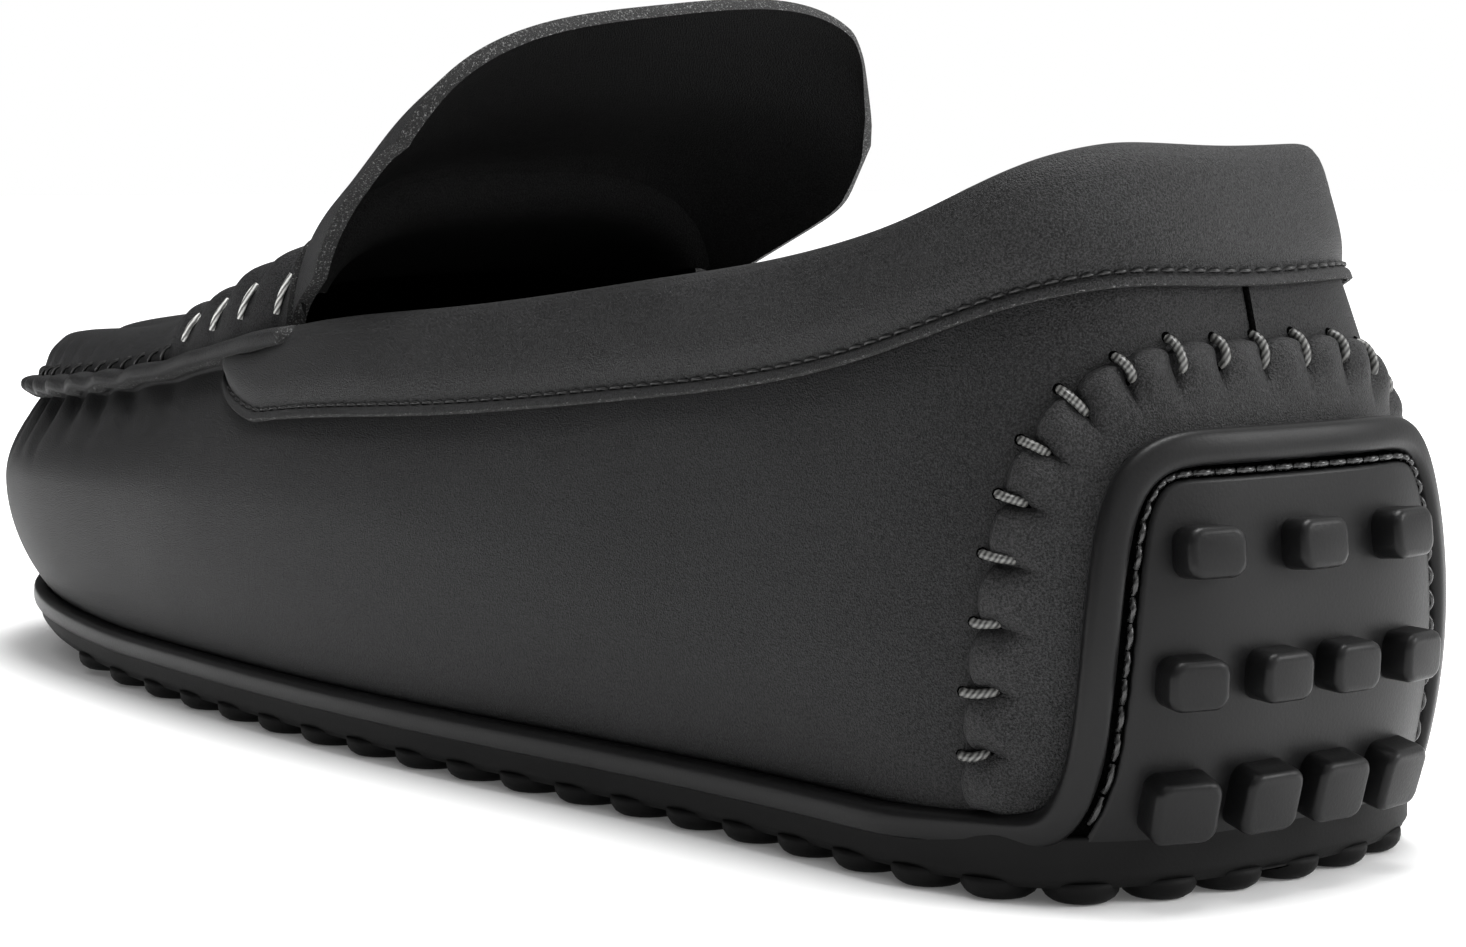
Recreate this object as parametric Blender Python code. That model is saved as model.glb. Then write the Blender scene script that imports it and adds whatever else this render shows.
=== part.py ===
"""Driving moccasin for the left foot.

Metres. The toe points along +X, the wearer's left (the outer side) along +Y, and the floor is Z = 0.
Every piece is worked out from one leather wall, the tub, that runs round the foot. A place on the tub
is a station u (0 at the middle of the heel, 0.5 at the toe tip, outer side first) and a height v
(0 at the sole, 1 at the top edge).
"""

import math
from collections import namedtuple

import bmesh
import bpy
import numpy as np
from mathutils import Matrix, Vector

# Driving sizes of the shoe
LENGTH = 0.300
BALL_WIDTH = 0.104
HEEL_HEIGHT = 0.0875
INSTEP_HEIGHT = 0.112

# The sole lifts off the floor toward the toe, from a share of LENGTH on; the slab under it lifts faster, so
# the sole thins to the toe
TOE_SPRING = 0.0065
SLAB_TAPER = 0.0026
SPRING_START = 0.70
SPRING_POWER = 1.7

# Clearance between pieces that touch
GAP = 0.0003

# Leather: the tub's wall, the seam's edge turned out along the apron, apron and tongue, the cuff over the
# collar's edge, the counter at the heel, and the sock
WALL = 0.0020
LIP_WIDTH = 0.0036
LIP_THICKNESS = 0.0019
APRON_THICKNESS = 0.0024
CUFF_THICKNESS = 0.0017
CUFF_HEIGHT = 0.0156
CUFF_HEEL_HEIGHT = 0.0138
CUFF_PADDING = 0.0022
COUNTER_THICKNESS = 0.0015
COUNTER_HALF_ARC = 0.041
COUNTER_HEIGHT = 0.064
INSOLE_THICKNESS = 0.0030

# Rubber: nubs on the floor, a slab, a rim band that stands out over the slab and rises as a welt beside the
# leather, and the flap up the heel with its blocks
NUB_HEIGHT = 0.0028
SLAB_HEIGHT = 0.0026
RIM_HEIGHT = 0.0032
RIM_OVERHANG = 0.0032
RIM_CHAMFER = 0.0005
WELT_WIDTH = 0.0011
WELT_RISE = 0.0010
SLAB_INSET = 0.0013
FLAP_THICKNESS = 0.0030
FLAP_HEIGHT = 0.0545
FLAP_HALF_ARC = 0.0290
FLAP_SHIFT = 0.0010
BLOCK_HEIGHT = 0.0026
BLOCK_LENGTH = 0.0076
BLOCK_WIDTH = 0.0056
BLOCK_BEVEL = 0.0007

# How deep an added form sinks into the rubber that it grows from
SINK = 0.0013

# How fine the shapes are cut
STATIONS = 82
WALL_LEVELS = 6
FLAP_COLUMNS = 13
COUNTER_COLUMNS = 19
ARCH_POINTS = 12
ARCH_COUNT = 24
NUB_SIDES = 6
BLOCK_SIDES = 8

SOLE_TOP = NUB_HEIGHT + SLAB_HEIGHT + RIM_HEIGHT
FLAP_BACK = GAP + COUNTER_THICKNESS + GAP
FLAP_FACE = FLAP_BACK + FLAP_THICKNESS
HEEL_BUILD = FLAP_FACE + BLOCK_HEIGHT
HEEL = -LENGTH / 2 + HEEL_BUILD

# Cross-sections of the tub from heel to toe. along is a share of the tub's length. lateral, medial, tuck
# (how far the sole's edge lies inside the widest line) and outer_lean and inner_lean (how far the top edge
# lies inside it) are shares of BALL_WIDTH. belly (height of the widest line) and top are shares of
# HEEL_HEIGHT.
SECTION_COLUMNS = ("along", "lateral", "medial", "tuck", "belly", "top", "outer_lean", "inner_lean")
SECTIONS = (
    (0.000, -0.025, -0.025, 0.036, 0.36, 0.960, 0.095, 0.095),
    (0.010, 0.180, -0.250, 0.040, 0.36, 0.962, 0.095, 0.115),
    (0.045, 0.290, -0.368, 0.030, 0.36, 0.935, 0.095, 0.145),
    (0.130, 0.355, -0.410, 0.042, 0.37, 0.848, 0.105, 0.140),
    (0.270, 0.395, -0.382, 0.042, 0.38, 0.768, 0.110, 0.125),
    (0.410, 0.450, -0.390, 0.040, 0.39, 0.712, 0.115, 0.115),
    (0.540, 0.485, -0.440, 0.045, 0.39, 0.672, 0.120, 0.120),
    (0.670, 0.500, -0.490, 0.055, 0.38, 0.600, 0.115, 0.115),
    (0.800, 0.495, -0.490, 0.065, 0.37, 0.540, 0.095, 0.095),
    (0.905, 0.425, -0.420, 0.075, 0.35, 0.515, 0.070, 0.070),
    (0.970, 0.260, -0.280, 0.085, 0.35, 0.500, 0.060, 0.060),
    (1.000, -0.010, -0.010, 0.090, 0.35, 0.495, 0.060, 0.060),
)

# The wall's profile is two cubics that meet at the widest line: the height v of that line, and how steeply
# the curves leave the sole, pass the widest line and reach the top, as shares of their own rise or offset
WIDEST = 0.42
FOOT_SPREAD = 1.9
FOOT_RISE = 0.75
BELLY_RISE = 1.1
CHEST_RISE = 1.25
TOP_RISE = 0.85
TOP_LEAN = 1.1

# The throat, where the apron's seam ends and the collar begins, on the outer and inner side, as shares of
# the tub's length, and how quickly the turned lip fades there and how far behind it the cuff starts, both
# as shares of the way round the foot
THROAT_OUTER = 0.585
THROAT_INNER = 0.515
THROAT_BLEND = 0.008
CUFF_START = 0.006

# Cross-arches of the apron and tongue, from the toe seam to the tongue's tip. seam is the share of the way
# from toe to throat that the arch's two ends have come. slide is how far they lie behind the throat, turn
# how much farther back the inner end lies than the outer, and back how far the middle lies behind them, as
# shares of LENGTH. flare is how far the ends spread past the seam and skew how far the arch leans to the
# inner side, as shares of BALL_WIDTH. rise and crown are the heights of the ends over the seam and of the
# middle over the ends, as shares of INSTEP_HEIGHT.
ARCH_COLUMNS = ("seam", "slide", "turn", "flare", "skew", "rise", "crown", "back")
ARCHES = (
    (0.003, 0.000, 0.000, 0.000, 0.000, 0.016, 0.000, 0.000),
    (0.014, 0.000, 0.000, 0.000, 0.000, 0.016, 0.060, 0.000),
    (0.045, 0.000, 0.000, 0.000, 0.000, 0.016, 0.096, 0.000),
    (0.130, 0.000, 0.000, 0.000, 0.000, 0.016, 0.114, 0.000),
    (0.320, 0.000, 0.000, 0.000, 0.000, 0.016, 0.125, 0.000),
    (0.550, 0.000, 0.000, 0.000, 0.000, 0.016, 0.138, 0.000),
    (0.780, 0.000, 0.000, 0.000, 0.000, 0.016, 0.165, 0.000),
    (1.000, 0.000, 0.000, 0.000, 0.000, 0.016, 0.212, 0.002),
    (1.000, 0.012, 0.005, -0.004, 0.000, 0.075, 0.208, 0.004),
    (1.000, 0.060, 0.014, 0.038, 0.022, 0.125, 0.198, 0.008),
    (1.000, 0.088, 0.000, 0.048, 0.030, 0.200, 0.192, 0.012),
    (1.000, 0.104, -0.008, 0.042, 0.033, 0.230, 0.205, 0.016),
)

# SEAM is how far out from the wall's outer face the apron's edge lies. The arch's profile is a rounded box,
# flat on top and steep at the ends. TOE_CURVE is the share of the seam over which the arches unbend from the
# toe's round to straight.
SEAM = -WALL - 2 * GAP
ARCH_SQUARENESS = 3.2
ARCH_ROUND = 2.2
TOE_CURVE = 0.35

# Outlines of the two heel patches from the foot up: height as a share of the patch's height, half width as
# a share of its half arc
PATCH_COLUMNS = ("height", "width")
FLAP_OUTLINE = (
    (0.00, 1.30),
    (0.10, 1.12),
    (0.22, 1.03),
    (0.45, 1.00),
    (0.68, 0.97),
    (0.84, 0.93),
    (0.92, 0.87),
    (0.97, 0.80),
    (1.00, 0.68),
)
COUNTER_OUTLINE = (
    (0.00, 1.00),
    (0.12, 0.99),
    (0.30, 0.965),
    (0.50, 0.93),
    (0.68, 0.89),
    (0.80, 0.83),
    (0.88, 0.75),
    (0.94, 0.64),
    (0.98, 0.50),
    (1.00, 0.36),
)

# Floor nubs: distance between them at the heel and at the ball, how much of it a nub fills, how much wider
# the inner rows are spaced, how clear of the edge row they keep, and where all rows end under the toe as a
# share of LENGTH
NUB_PITCH_HEEL = 0.0094
NUB_PITCH_BALL = 0.0140
NUB_FILL = 0.90
INNER_SPREAD = 1.45
INNER_CLEAR = 1.06
NUB_END = 0.315

# Rows of blocks on the heel flap: height of the row in metres, distance between blocks, and how many
BLOCK_COLUMNS = ("height", "pitch", "count")
BLOCK_ROWS = (
    (0.0410, 0.0150, 3),
    (0.0270, 0.0112, 4),
    (0.0135, 0.0112, 4),
)
BLOCK_SQUARENESS = 3.6

UP = np.array([0.0, 0.0, 1.0])

Frame = namedtuple("Frame", "plan outward tuck lean belly top")


def table(columns, rows):
    """Columns of a table by name."""
    return dict(zip(columns, np.array(rows, dtype=float).T))


def unit(vectors):
    """Vectors of length one."""
    return vectors / np.linalg.norm(vectors, axis=-1, keepdims=True)


def smooth_step(value):
    """0 below 0, 1 above 1, smooth between."""
    value = np.clip(value, 0.0, 1.0)
    return value * value * (3.0 - 2.0 * value)


def hermite(start, end, start_slope, end_slope, share):
    """Cubic from start to end with the given slopes per unit share."""
    square = share * share
    cube = square * share
    return ((2 * cube - 3 * square + 1) * start + (cube - 2 * square + share) * start_slope
            + (3 * square - 2 * cube) * end + (cube - square) * end_slope)


def spring(x):
    """How far the sole lifts off the floor toward the toe."""
    start = (SPRING_START - 0.5) * LENGTH
    reach = LENGTH / 2 - start
    return TOE_SPRING * np.clip((np.asarray(x) - start) / reach, 0.0, 1.2) ** SPRING_POWER


class Tub:
    """The moccasin's leather wall, its outer face as a function of station and height."""

    def __init__(self):
        rows = table(SECTION_COLUMNS, SECTIONS)
        sizes = (
            ("along", "along", LENGTH / 2 - HEEL),
            ("lateral", "medial", BALL_WIDTH),
            ("tuck", "tuck", BALL_WIDTH),
            ("outer_lean", "inner_lean", BALL_WIDTH),
            ("belly", "belly", HEEL_HEIGHT),
            ("top", "top", HEEL_HEIGHT),
        )
        values = [np.concatenate([rows[outer], rows[inner][-2:0:-1]]) * size for outer, inner, size in sizes]
        self.values = np.array(values).T
        self.values[:, 0] += HEEL
        self.count = len(self.values)
        self.chords = np.linalg.norm(np.roll(self.values[:, :2], -1, 0) - self.values[:, :2], axis=1)
        self.slopes = self.spline_slopes()
        dense = np.linspace(0.0, 1.0, 2001)
        points = self.rows_at(dense)[0][:, :2]
        steps = np.linalg.norm(np.diff(points, axis=0), axis=1)
        self.dense = dense
        self.arcs = np.concatenate([[0.0], np.cumsum(steps)])

    def spline_slopes(self):
        """Slopes of the closed cubic spline through the rows, knots a chord apart."""
        count = self.count
        matrix = np.zeros((count, count))
        right = np.zeros_like(self.values)
        for row in range(count):
            before = self.chords[row - 1]
            after = self.chords[row]
            matrix[row, row - 1] += 1 / before
            matrix[row, row] += 2 / before + 2 / after
            matrix[row, (row + 1) % count] += 1 / after
            right[row] = 3 * ((self.values[row] - self.values[row - 1]) / before ** 2
                              + (self.values[(row + 1) % count] - self.values[row]) / after ** 2)
        return np.linalg.solve(matrix, right)

    def rows_at(self, u):
        """Table values at stations u, and their rate of change along the outline."""
        place = np.mod(np.asarray(u, dtype=float), 1.0) * self.count
        row = np.minimum(place.astype(int), self.count - 1)
        after = (row + 1) % self.count
        share = (place - row)[..., None]
        chord = self.chords[row][..., None]
        ends = (self.values[row], self.values[after], self.slopes[row] * chord, self.slopes[after] * chord)
        step = 1e-4
        value = hermite(*ends, share)
        rate = (hermite(*ends, share + step) - hermite(*ends, share - step)) / (2 * step)
        return value, rate

    def frame(self, u):
        """Point on the widest line in plan, the outward direction there, and the section's sizes."""
        value, rate = self.rows_at(u)
        outward = unit(np.stack([-rate[..., 1], rate[..., 0]], -1))
        return Frame(value[..., :2], outward, *(value[..., column] for column in range(2, 6)))

    def sole_height(self, u):
        """Height of the leather's lower edge, on top of the sole."""
        at = self.frame(u)
        return SOLE_TOP + spring(at.plan[..., 0] - at.outward[..., 0] * at.tuck)

    def section(self, u, v):
        """Offset from the widest line and height, at height v of the wall at station u."""
        at = self.frame(u)
        foot = self.sole_height(u)
        low = np.clip(v / WIDEST, 0.0, 1.0)
        high = np.clip((v - WIDEST) / (1 - WIDEST), 0.0, 1.0)
        below = at.belly - foot
        above = at.top - at.belly
        offset = np.where(v < WIDEST, hermite(-at.tuck, 0.0, FOOT_SPREAD * at.tuck, 0.0, low),
                          hermite(0.0, -at.lean, 0.0, -TOP_LEAN * at.lean, high))
        height = np.where(v < WIDEST, hermite(foot, at.belly, FOOT_RISE * below, BELLY_RISE * below, low),
                          hermite(at.belly, at.top, CHEST_RISE * above, TOP_RISE * above, high))
        return offset, height

    def wall(self, u, v, out=0.0):
        """Points a distance out from the wall's outer face."""
        u, v, out = np.broadcast_arrays(np.asarray(u, float), np.asarray(v, float), np.asarray(out, float))
        step = 1e-3
        offset, height = self.section(u, v)
        more, higher = self.section(u, np.minimum(v + step, 1.0))
        less, lower = self.section(u, np.maximum(v - step, 0.0))
        across = unit(np.stack([higher - lower, less - more], -1))
        at = self.frame(u)
        reach = offset + out * across[..., 0]
        plan = at.plan + at.outward * reach[..., None]
        return np.concatenate([plan, (height + out * across[..., 1])[..., None]], -1)

    def beside(self, u, reach, height):
        """Points by their distance outside the sole's edge and their height over the leather's edge."""
        at = self.frame(u)
        plan = at.plan + at.outward * (reach - at.tuck)[..., None]
        return np.concatenate([plan, (self.sole_height(u) + height)[..., None]], -1)

    def station(self, arc):
        """Station at an arc length from the middle of the heel, positive toward the outer side."""
        whole = self.arcs[-1]
        return np.interp(np.mod(arc, whole), self.arcs, self.dense)

    def height_share(self, u, z):
        """Height v at which the wall at station u reaches the height z."""
        samples = np.linspace(0.0, 1.0, 201)
        shape = np.broadcast(u, z).shape
        u = np.broadcast_to(u, shape).ravel()
        z = np.broadcast_to(z, shape).ravel()
        heights = self.section(u[:, None], samples[None, :])[1]
        found = [np.interp(level, row, samples) for level, row in zip(z, heights)]
        return np.array(found).reshape(shape)

    def drop_share(self, u, drop):
        """Height v that lies a distance below the top edge, measured down the wall."""
        samples = np.linspace(1.0, 0.0, 201)
        shape = np.broadcast(u, drop).shape
        u = np.broadcast_to(u, shape).ravel()
        drop = np.broadcast_to(drop, shape).ravel()
        offset, height = self.section(u[:, None], samples[None, :])
        steps = np.hypot(np.diff(offset, axis=1), np.diff(height, axis=1))
        runs = np.concatenate([np.zeros((len(u), 1)), np.cumsum(steps, axis=1)], axis=1)
        found = [np.interp(length, run, samples) for length, run in zip(drop, runs)]
        return np.array(found).reshape(shape)


TUB = Tub()


def plain_material(name, colour, roughness):
    """One colour and one roughness."""
    material = bpy.data.materials.new(name)
    material.use_nodes = True
    shader = material.node_tree.nodes["Principled BSDF"]
    shader.inputs["Base Color"].default_value = (*colour, 1.0)
    shader.inputs["Roughness"].default_value = roughness
    shader.inputs["Metallic"].default_value = 0.0
    return material


def mesh_object(name, points, faces, material):
    """One closed mesh with its faces pointing out."""
    shape = bmesh.new()
    corners = [shape.verts.new(point) for point in points]
    for face in faces:
        shape.faces.new([corners[index] for index in face])
    bmesh.ops.recalc_face_normals(shape, faces=shape.faces)
    mesh = bpy.data.meshes.new(name)
    shape.to_mesh(mesh)
    shape.free()
    mesh.materials.append(material)
    mesh.shade_smooth()
    mesh.set_sharp_from_angle(angle=math.radians(35))
    made = bpy.data.objects.new(name, mesh)
    bpy.context.scene.collection.objects.link(made)
    return made


def ring_band(sections, closed):
    """Faces of a band swept through rings of points; sections has shape (rings, points, 3)."""
    rings, points = sections.shape[:2]
    faces = []
    for ring in range(rings if closed else rings - 1):
        after = (ring + 1) % rings
        for point in range(points):
            beside = (point + 1) % points
            faces.append((ring * points + point, ring * points + beside,
                          after * points + beside, after * points + point))
    if not closed:
        faces.append(tuple(range(points)))
        faces.append(tuple((rings - 1) * points + point for point in range(points)))
    return sections.reshape(-1, 3), faces


def stack_of_outlines(outlines):
    """Solid between the first and last of several closed outlines, each closed by rungs side to side."""
    levels, count = outlines.shape[:2]
    faces = []
    for level in range(levels - 1):
        for point in range(count):
            beside = (point + 1) % count
            faces.append((level * count + point, level * count + beside,
                          (level + 1) * count + beside, (level + 1) * count + point))
    for level in (0, levels - 1):
        base = level * count
        faces.append((base, base + 1, base + count - 1))
        faces.append((base + count // 2, base + count // 2 + 1, base + count // 2 - 1))
        for point in range(1, count // 2 - 1):
            faces.append((base + point, base + point + 1, base + count - point - 1, base + count - point))
    return outlines.reshape(-1, 3), faces


def thick_sheet(outer, inner):
    """Solid between two grids of points with the same rows and columns."""
    rows, columns = outer.shape[:2]
    under = rows * columns
    faces = []
    for row in range(rows - 1):
        for column in range(columns - 1):
            corner = row * columns + column
            quad = (corner, corner + 1, corner + columns + 1, corner + columns)
            faces.append(quad)
            faces.append(tuple(under + index for index in reversed(quad)))
    rim = [column for column in range(columns)]
    rim += [row * columns + columns - 1 for row in range(1, rows)]
    rim += [(rows - 1) * columns + column for column in range(columns - 2, -1, -1)]
    rim += [row * columns for row in range(rows - 2, 0, -1)]
    for index, corner in enumerate(rim):
        beside = rim[(index + 1) % len(rim)]
        faces.append((corner, under + corner, under + beside, beside))
    return np.concatenate([outer.reshape(-1, 3), inner.reshape(-1, 3)]), faces


def join_to(target, tools):
    """Union the closed bodies of one mesh with the target."""
    tools.hide_render = True
    tools.display_type = "WIRE"
    modifier = target.modifiers.new("join " + tools.name, "BOOLEAN")
    modifier.operation = "UNION"
    modifier.solver = "EXACT"
    modifier.object = tools


def all_stations():
    """Stations round the whole foot."""
    return np.arange(STATIONS) / STATIONS


def station_along(share, side):
    """Station at a share of the tub's length, on the outer (+1) or inner (-1) side."""
    stations = np.linspace(0.0, 0.5, 501)
    x = TUB.frame(stations if side > 0 else 1.0 - stations).plan[:, 0]
    found = np.interp(HEEL + share * (LENGTH / 2 - HEEL), x, stations)
    return found if side > 0 else 1.0 - found


def flat_outward(u):
    """Level outward directions in space."""
    outward = TUB.frame(u).outward
    return np.concatenate([outward, np.zeros((len(u), 1))], -1)


def cuff_ends():
    """Stations where the cuff begins, on the inner and outer side."""
    return station_along(THROAT_INNER, -1) + CUFF_START, station_along(THROAT_OUTER, 1) - CUFF_START


def seam_share(u):
    """1 along the apron's seam, 0 from where the cuff begins."""
    inner, outer = cuff_ends()
    ahead = np.where(u < 0.5, u - outer, inner - u)
    return smooth_step(ahead / THROAT_BLEND)


def upper(material):
    """The tub: a wall round the foot, its front edge turned out as the raised seam."""
    u = np.sort(np.concatenate([all_stations(), cuff_ends()]))
    rising = np.linspace(0.0, 1.0, WALL_LEVELS)
    outside = TUB.wall(u[:, None], rising[None, :])
    inside = TUB.wall(u[:, None], rising[None, ::-1], -WALL)
    edge = outside[:, -1]
    outward = flat_outward(u)
    width = (GAP + LIP_WIDTH * seam_share(u))[:, None]
    lip = (edge + outward * width + UP * GAP,
           edge + outward * width * 0.9 + UP * LIP_THICKNESS,
           edge - outward * WALL * 0.3 + UP * LIP_THICKNESS)
    points, faces = ring_band(np.concatenate([outside, np.stack(lip, 1), inside], 1), True)
    return mesh_object("upper", points, faces, material)


def slab_lift(x):
    """How far the slab's underside lifts toward the toe."""
    return spring(x) * (1.0 + SLAB_TAPER / TOE_SPRING)


def rim_reach(u):
    """Distance from the leather's edge to the rim's outer face: wider round the heel, under the flap."""
    arc = np.interp(np.minimum(u, 1.0 - u), TUB.dense, TUB.arcs)
    heel = 1.0 - smooth_step((arc - FLAP_HALF_ARC) / (FLAP_HALF_ARC / 2))
    return RIM_OVERHANG + heel * (FLAP_FACE + 2 * GAP - RIM_OVERHANG)


def outsole(material):
    """Bottom plate with its rim band and inset slab, the heel flap, floor nubs and heel blocks."""
    u = all_stations()
    zero = np.zeros(len(u))
    reach = rim_reach(u)
    seat = TUB.beside(u, zero + GAP, zero - GAP)
    welt = TUB.beside(u, reach - WELT_WIDTH - RIM_CHAMFER, zero + WELT_RISE)
    top = TUB.beside(u, reach - RIM_CHAMFER, zero + WELT_RISE)
    outer = TUB.beside(u, reach, zero + WELT_RISE - RIM_CHAMFER)
    lower = TUB.beside(u, reach, zero - RIM_HEIGHT + RIM_CHAMFER)
    step = TUB.beside(u, reach - SLAB_INSET, zero - RIM_HEIGHT)
    slab = TUB.beside(u, reach - SLAB_INSET, zero)
    slab[:, 2] = NUB_HEIGHT + slab_lift(slab[:, 0])
    points, faces = stack_of_outlines(np.stack([seat, welt, top, outer, lower, step, slab]))
    sole = mesh_object("outsole", points, faces, material)
    join_to(sole, heel_flap(material))
    join_to(sole, floor_nubs(material))
    join_to(sole, heel_blocks(material))
    return sole


def patch(outline, half_arc, shift, foot, top, columns, outs):
    """Sheet on the heel between two distances out from the wall: a row of points for each outline row."""
    rows = table(PATCH_COLUMNS, outline)
    spread = np.linspace(-1.0, 1.0, columns)
    stations = TUB.station(rows["width"][:, None] * half_arc * spread[None, :] - shift)
    levels = (foot + rows["height"] * (top - foot))[:, None]
    heights = TUB.height_share(stations, levels)
    return thick_sheet(*(TUB.wall(stations, heights, out) for out in outs))


def heel_flap(material):
    """Rubber flap up the back of the heel."""
    points, faces = patch(FLAP_OUTLINE, FLAP_HALF_ARC, FLAP_SHIFT, SOLE_TOP - SINK, FLAP_HEIGHT,
                          FLAP_COLUMNS, (FLAP_FACE, FLAP_BACK))
    return mesh_object("heel_flap_form", points, faces, material)


def block(frame, half_long, half_wide, height, sides, squareness, bevel):
    """Points and faces of a block sunk into its frame and standing height above it."""
    angles = (np.arange(sides) + 0.5) * 2 * math.pi / sides
    power = 2.0 / squareness
    round_x = np.sign(np.cos(angles)) * np.abs(np.cos(angles)) ** power
    round_y = np.sign(np.sin(angles)) * np.abs(np.sin(angles)) ** power
    levels = [(-SINK, 0.0), (height - bevel, 0.0)]
    if bevel:
        levels.append((height, bevel))
    rings = []
    for level, shrink in levels:
        rings += [frame @ Vector((x * (half_long - shrink), y * (half_wide - shrink), level))
                  for x, y in zip(round_x, round_y)]
    last = (len(levels) - 1) * sides
    faces = [tuple(range(sides)), tuple(range(last, last + sides))]
    for ring in range(0, last, sides):
        for side in range(sides):
            beside = (side + 1) % sides
            faces.append((ring + side, ring + beside, ring + sides + beside, ring + sides + side))
    return [tuple(point) for point in rings], faces


def many_bodies(name, bodies, material):
    """One mesh that holds several closed bodies."""
    points = []
    faces = []
    for body_points, body_faces in bodies:
        start = len(points)
        points += body_points
        faces += [tuple(start + index for index in face) for face in body_faces]
    return mesh_object(name, points, faces, material)


def nub_pitch(x):
    """Distance between nubs at a place along the sole."""
    share = np.clip((x + LENGTH / 2) / (LENGTH * (NUB_END + 0.5)), 0.0, 1.0)
    return NUB_PITCH_HEEL + (NUB_PITCH_BALL - NUB_PITCH_HEEL) * share


def edge_row():
    """The line under the sole that the edge row of nubs follows, and the nubs' centres on it."""
    stations = np.linspace(0.0, 1.0, 1201)
    inset = nub_pitch(TUB.frame(stations).plan[:, 0]) * NUB_FILL / 2
    path = TUB.beside(stations, rim_reach(stations) - SLAB_INSET - inset, np.zeros_like(stations))[:, :2]
    steps = np.linalg.norm(np.diff(path, axis=0), axis=1)
    turns = np.concatenate([[0.0], np.cumsum(steps / nub_pitch(path[1:, 0]))])
    count = int(round(turns[-1]))
    places = (np.arange(count) + 0.5) * turns[-1] / count
    return path, np.stack([np.interp(places, turns, path[:, axis]) for axis in (0, 1)], -1)


def inner_rows(path, edge):
    """Centres of the staggered rows of nubs across the sole, inside the edge row."""
    half = len(path) // 2
    outer = path[:half]
    inner = path[:half:-1]
    centres = []
    x = path[0, 0] + nub_pitch(path[0, 0])
    row = 0
    while x < NUB_END * LENGTH:
        spacing = nub_pitch(x) * INNER_SPREAD
        left = np.interp(x, outer[:, 0], outer[:, 1])
        right = np.interp(x, inner[:, 0], inner[:, 1])
        for y in (np.arange(-4, 5) + (row % 2) / 2) * spacing:
            place = np.array([x, (left + right) / 2 + y])
            clear = np.linalg.norm(edge - place, axis=1).min() > nub_pitch(x) * INNER_CLEAR
            if clear and right < place[1] < left:
                centres.append(place)
        x += spacing * math.sin(math.radians(60))
        row += 1
    return centres


def floor_nubs(material):
    """Round nubs: one row that follows the sole's edge, and staggered rows across the sole inside it."""
    path, edge = edge_row()
    bodies = []
    for x, y in [*edge, *inner_rows(path, edge)]:
        if x < NUB_END * LENGTH:
            radius = nub_pitch(x) * NUB_FILL / 2
            root = Matrix.Translation((x, y, float(slab_lift(x)) + NUB_HEIGHT))
            frame = root @ Matrix.Diagonal((1, 1, -1, 1))
            bodies.append(block(frame, radius, radius, NUB_HEIGHT, NUB_SIDES, 2.0, 0.0))
    return many_bodies("floor_nubs_form", bodies, material)


def heel_blocks(material):
    """Rounded rectangular blocks in rows across the heel flap."""
    rows = table(BLOCK_COLUMNS, BLOCK_ROWS)
    step = 0.001
    bodies = []
    for height, pitch, count in zip(rows["height"], rows["pitch"], rows["count"]):
        for arc in (np.arange(count) - (count - 1) / 2) * pitch:
            station = TUB.station(arc)
            v = TUB.height_share(station, height)
            middle = TUB.wall(station, v, FLAP_FACE)
            along = unit(TUB.wall(TUB.station(arc + step), v, FLAP_FACE) - middle)
            outward = unit(np.cross(along, TUB.wall(station, v + step, FLAP_FACE) - middle))
            outward *= -np.sign(outward[0])
            frame = Matrix.Identity(4)
            for column, axis in enumerate((along, np.cross(outward, along), outward, middle)):
                frame.col[column][:3] = axis
            bodies.append(block(frame, BLOCK_LENGTH / 2, BLOCK_WIDTH / 2, BLOCK_HEIGHT, BLOCK_SIDES,
                                BLOCK_SQUARENESS, BLOCK_BEVEL))
    return many_bodies("heel_blocks_form", bodies, material)


def insole(material):
    """Flat sock on the sole, inside the tub."""
    u = all_stations()
    zero = np.zeros(len(u))
    low = TUB.beside(u, zero - WALL - GAP, zero)
    high = TUB.beside(u, zero - WALL * 0.6 - GAP, zero + INSOLE_THICKNESS)
    points, faces = stack_of_outlines(np.stack([high, low]))
    return mesh_object("insole", points, faces, material)


def heel_counter(material):
    """Leather piece between the tub and the rubber flap, showing all round the flap."""
    foot = SOLE_TOP + WELT_RISE + 3 * GAP
    points, faces = patch(COUNTER_OUTLINE, COUNTER_HALF_ARC, 0.0, foot, COUNTER_HEIGHT,
                          COUNTER_COLUMNS, (GAP + COUNTER_THICKNESS, GAP))
    return mesh_object("heel_counter", points, faces, material)


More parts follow.
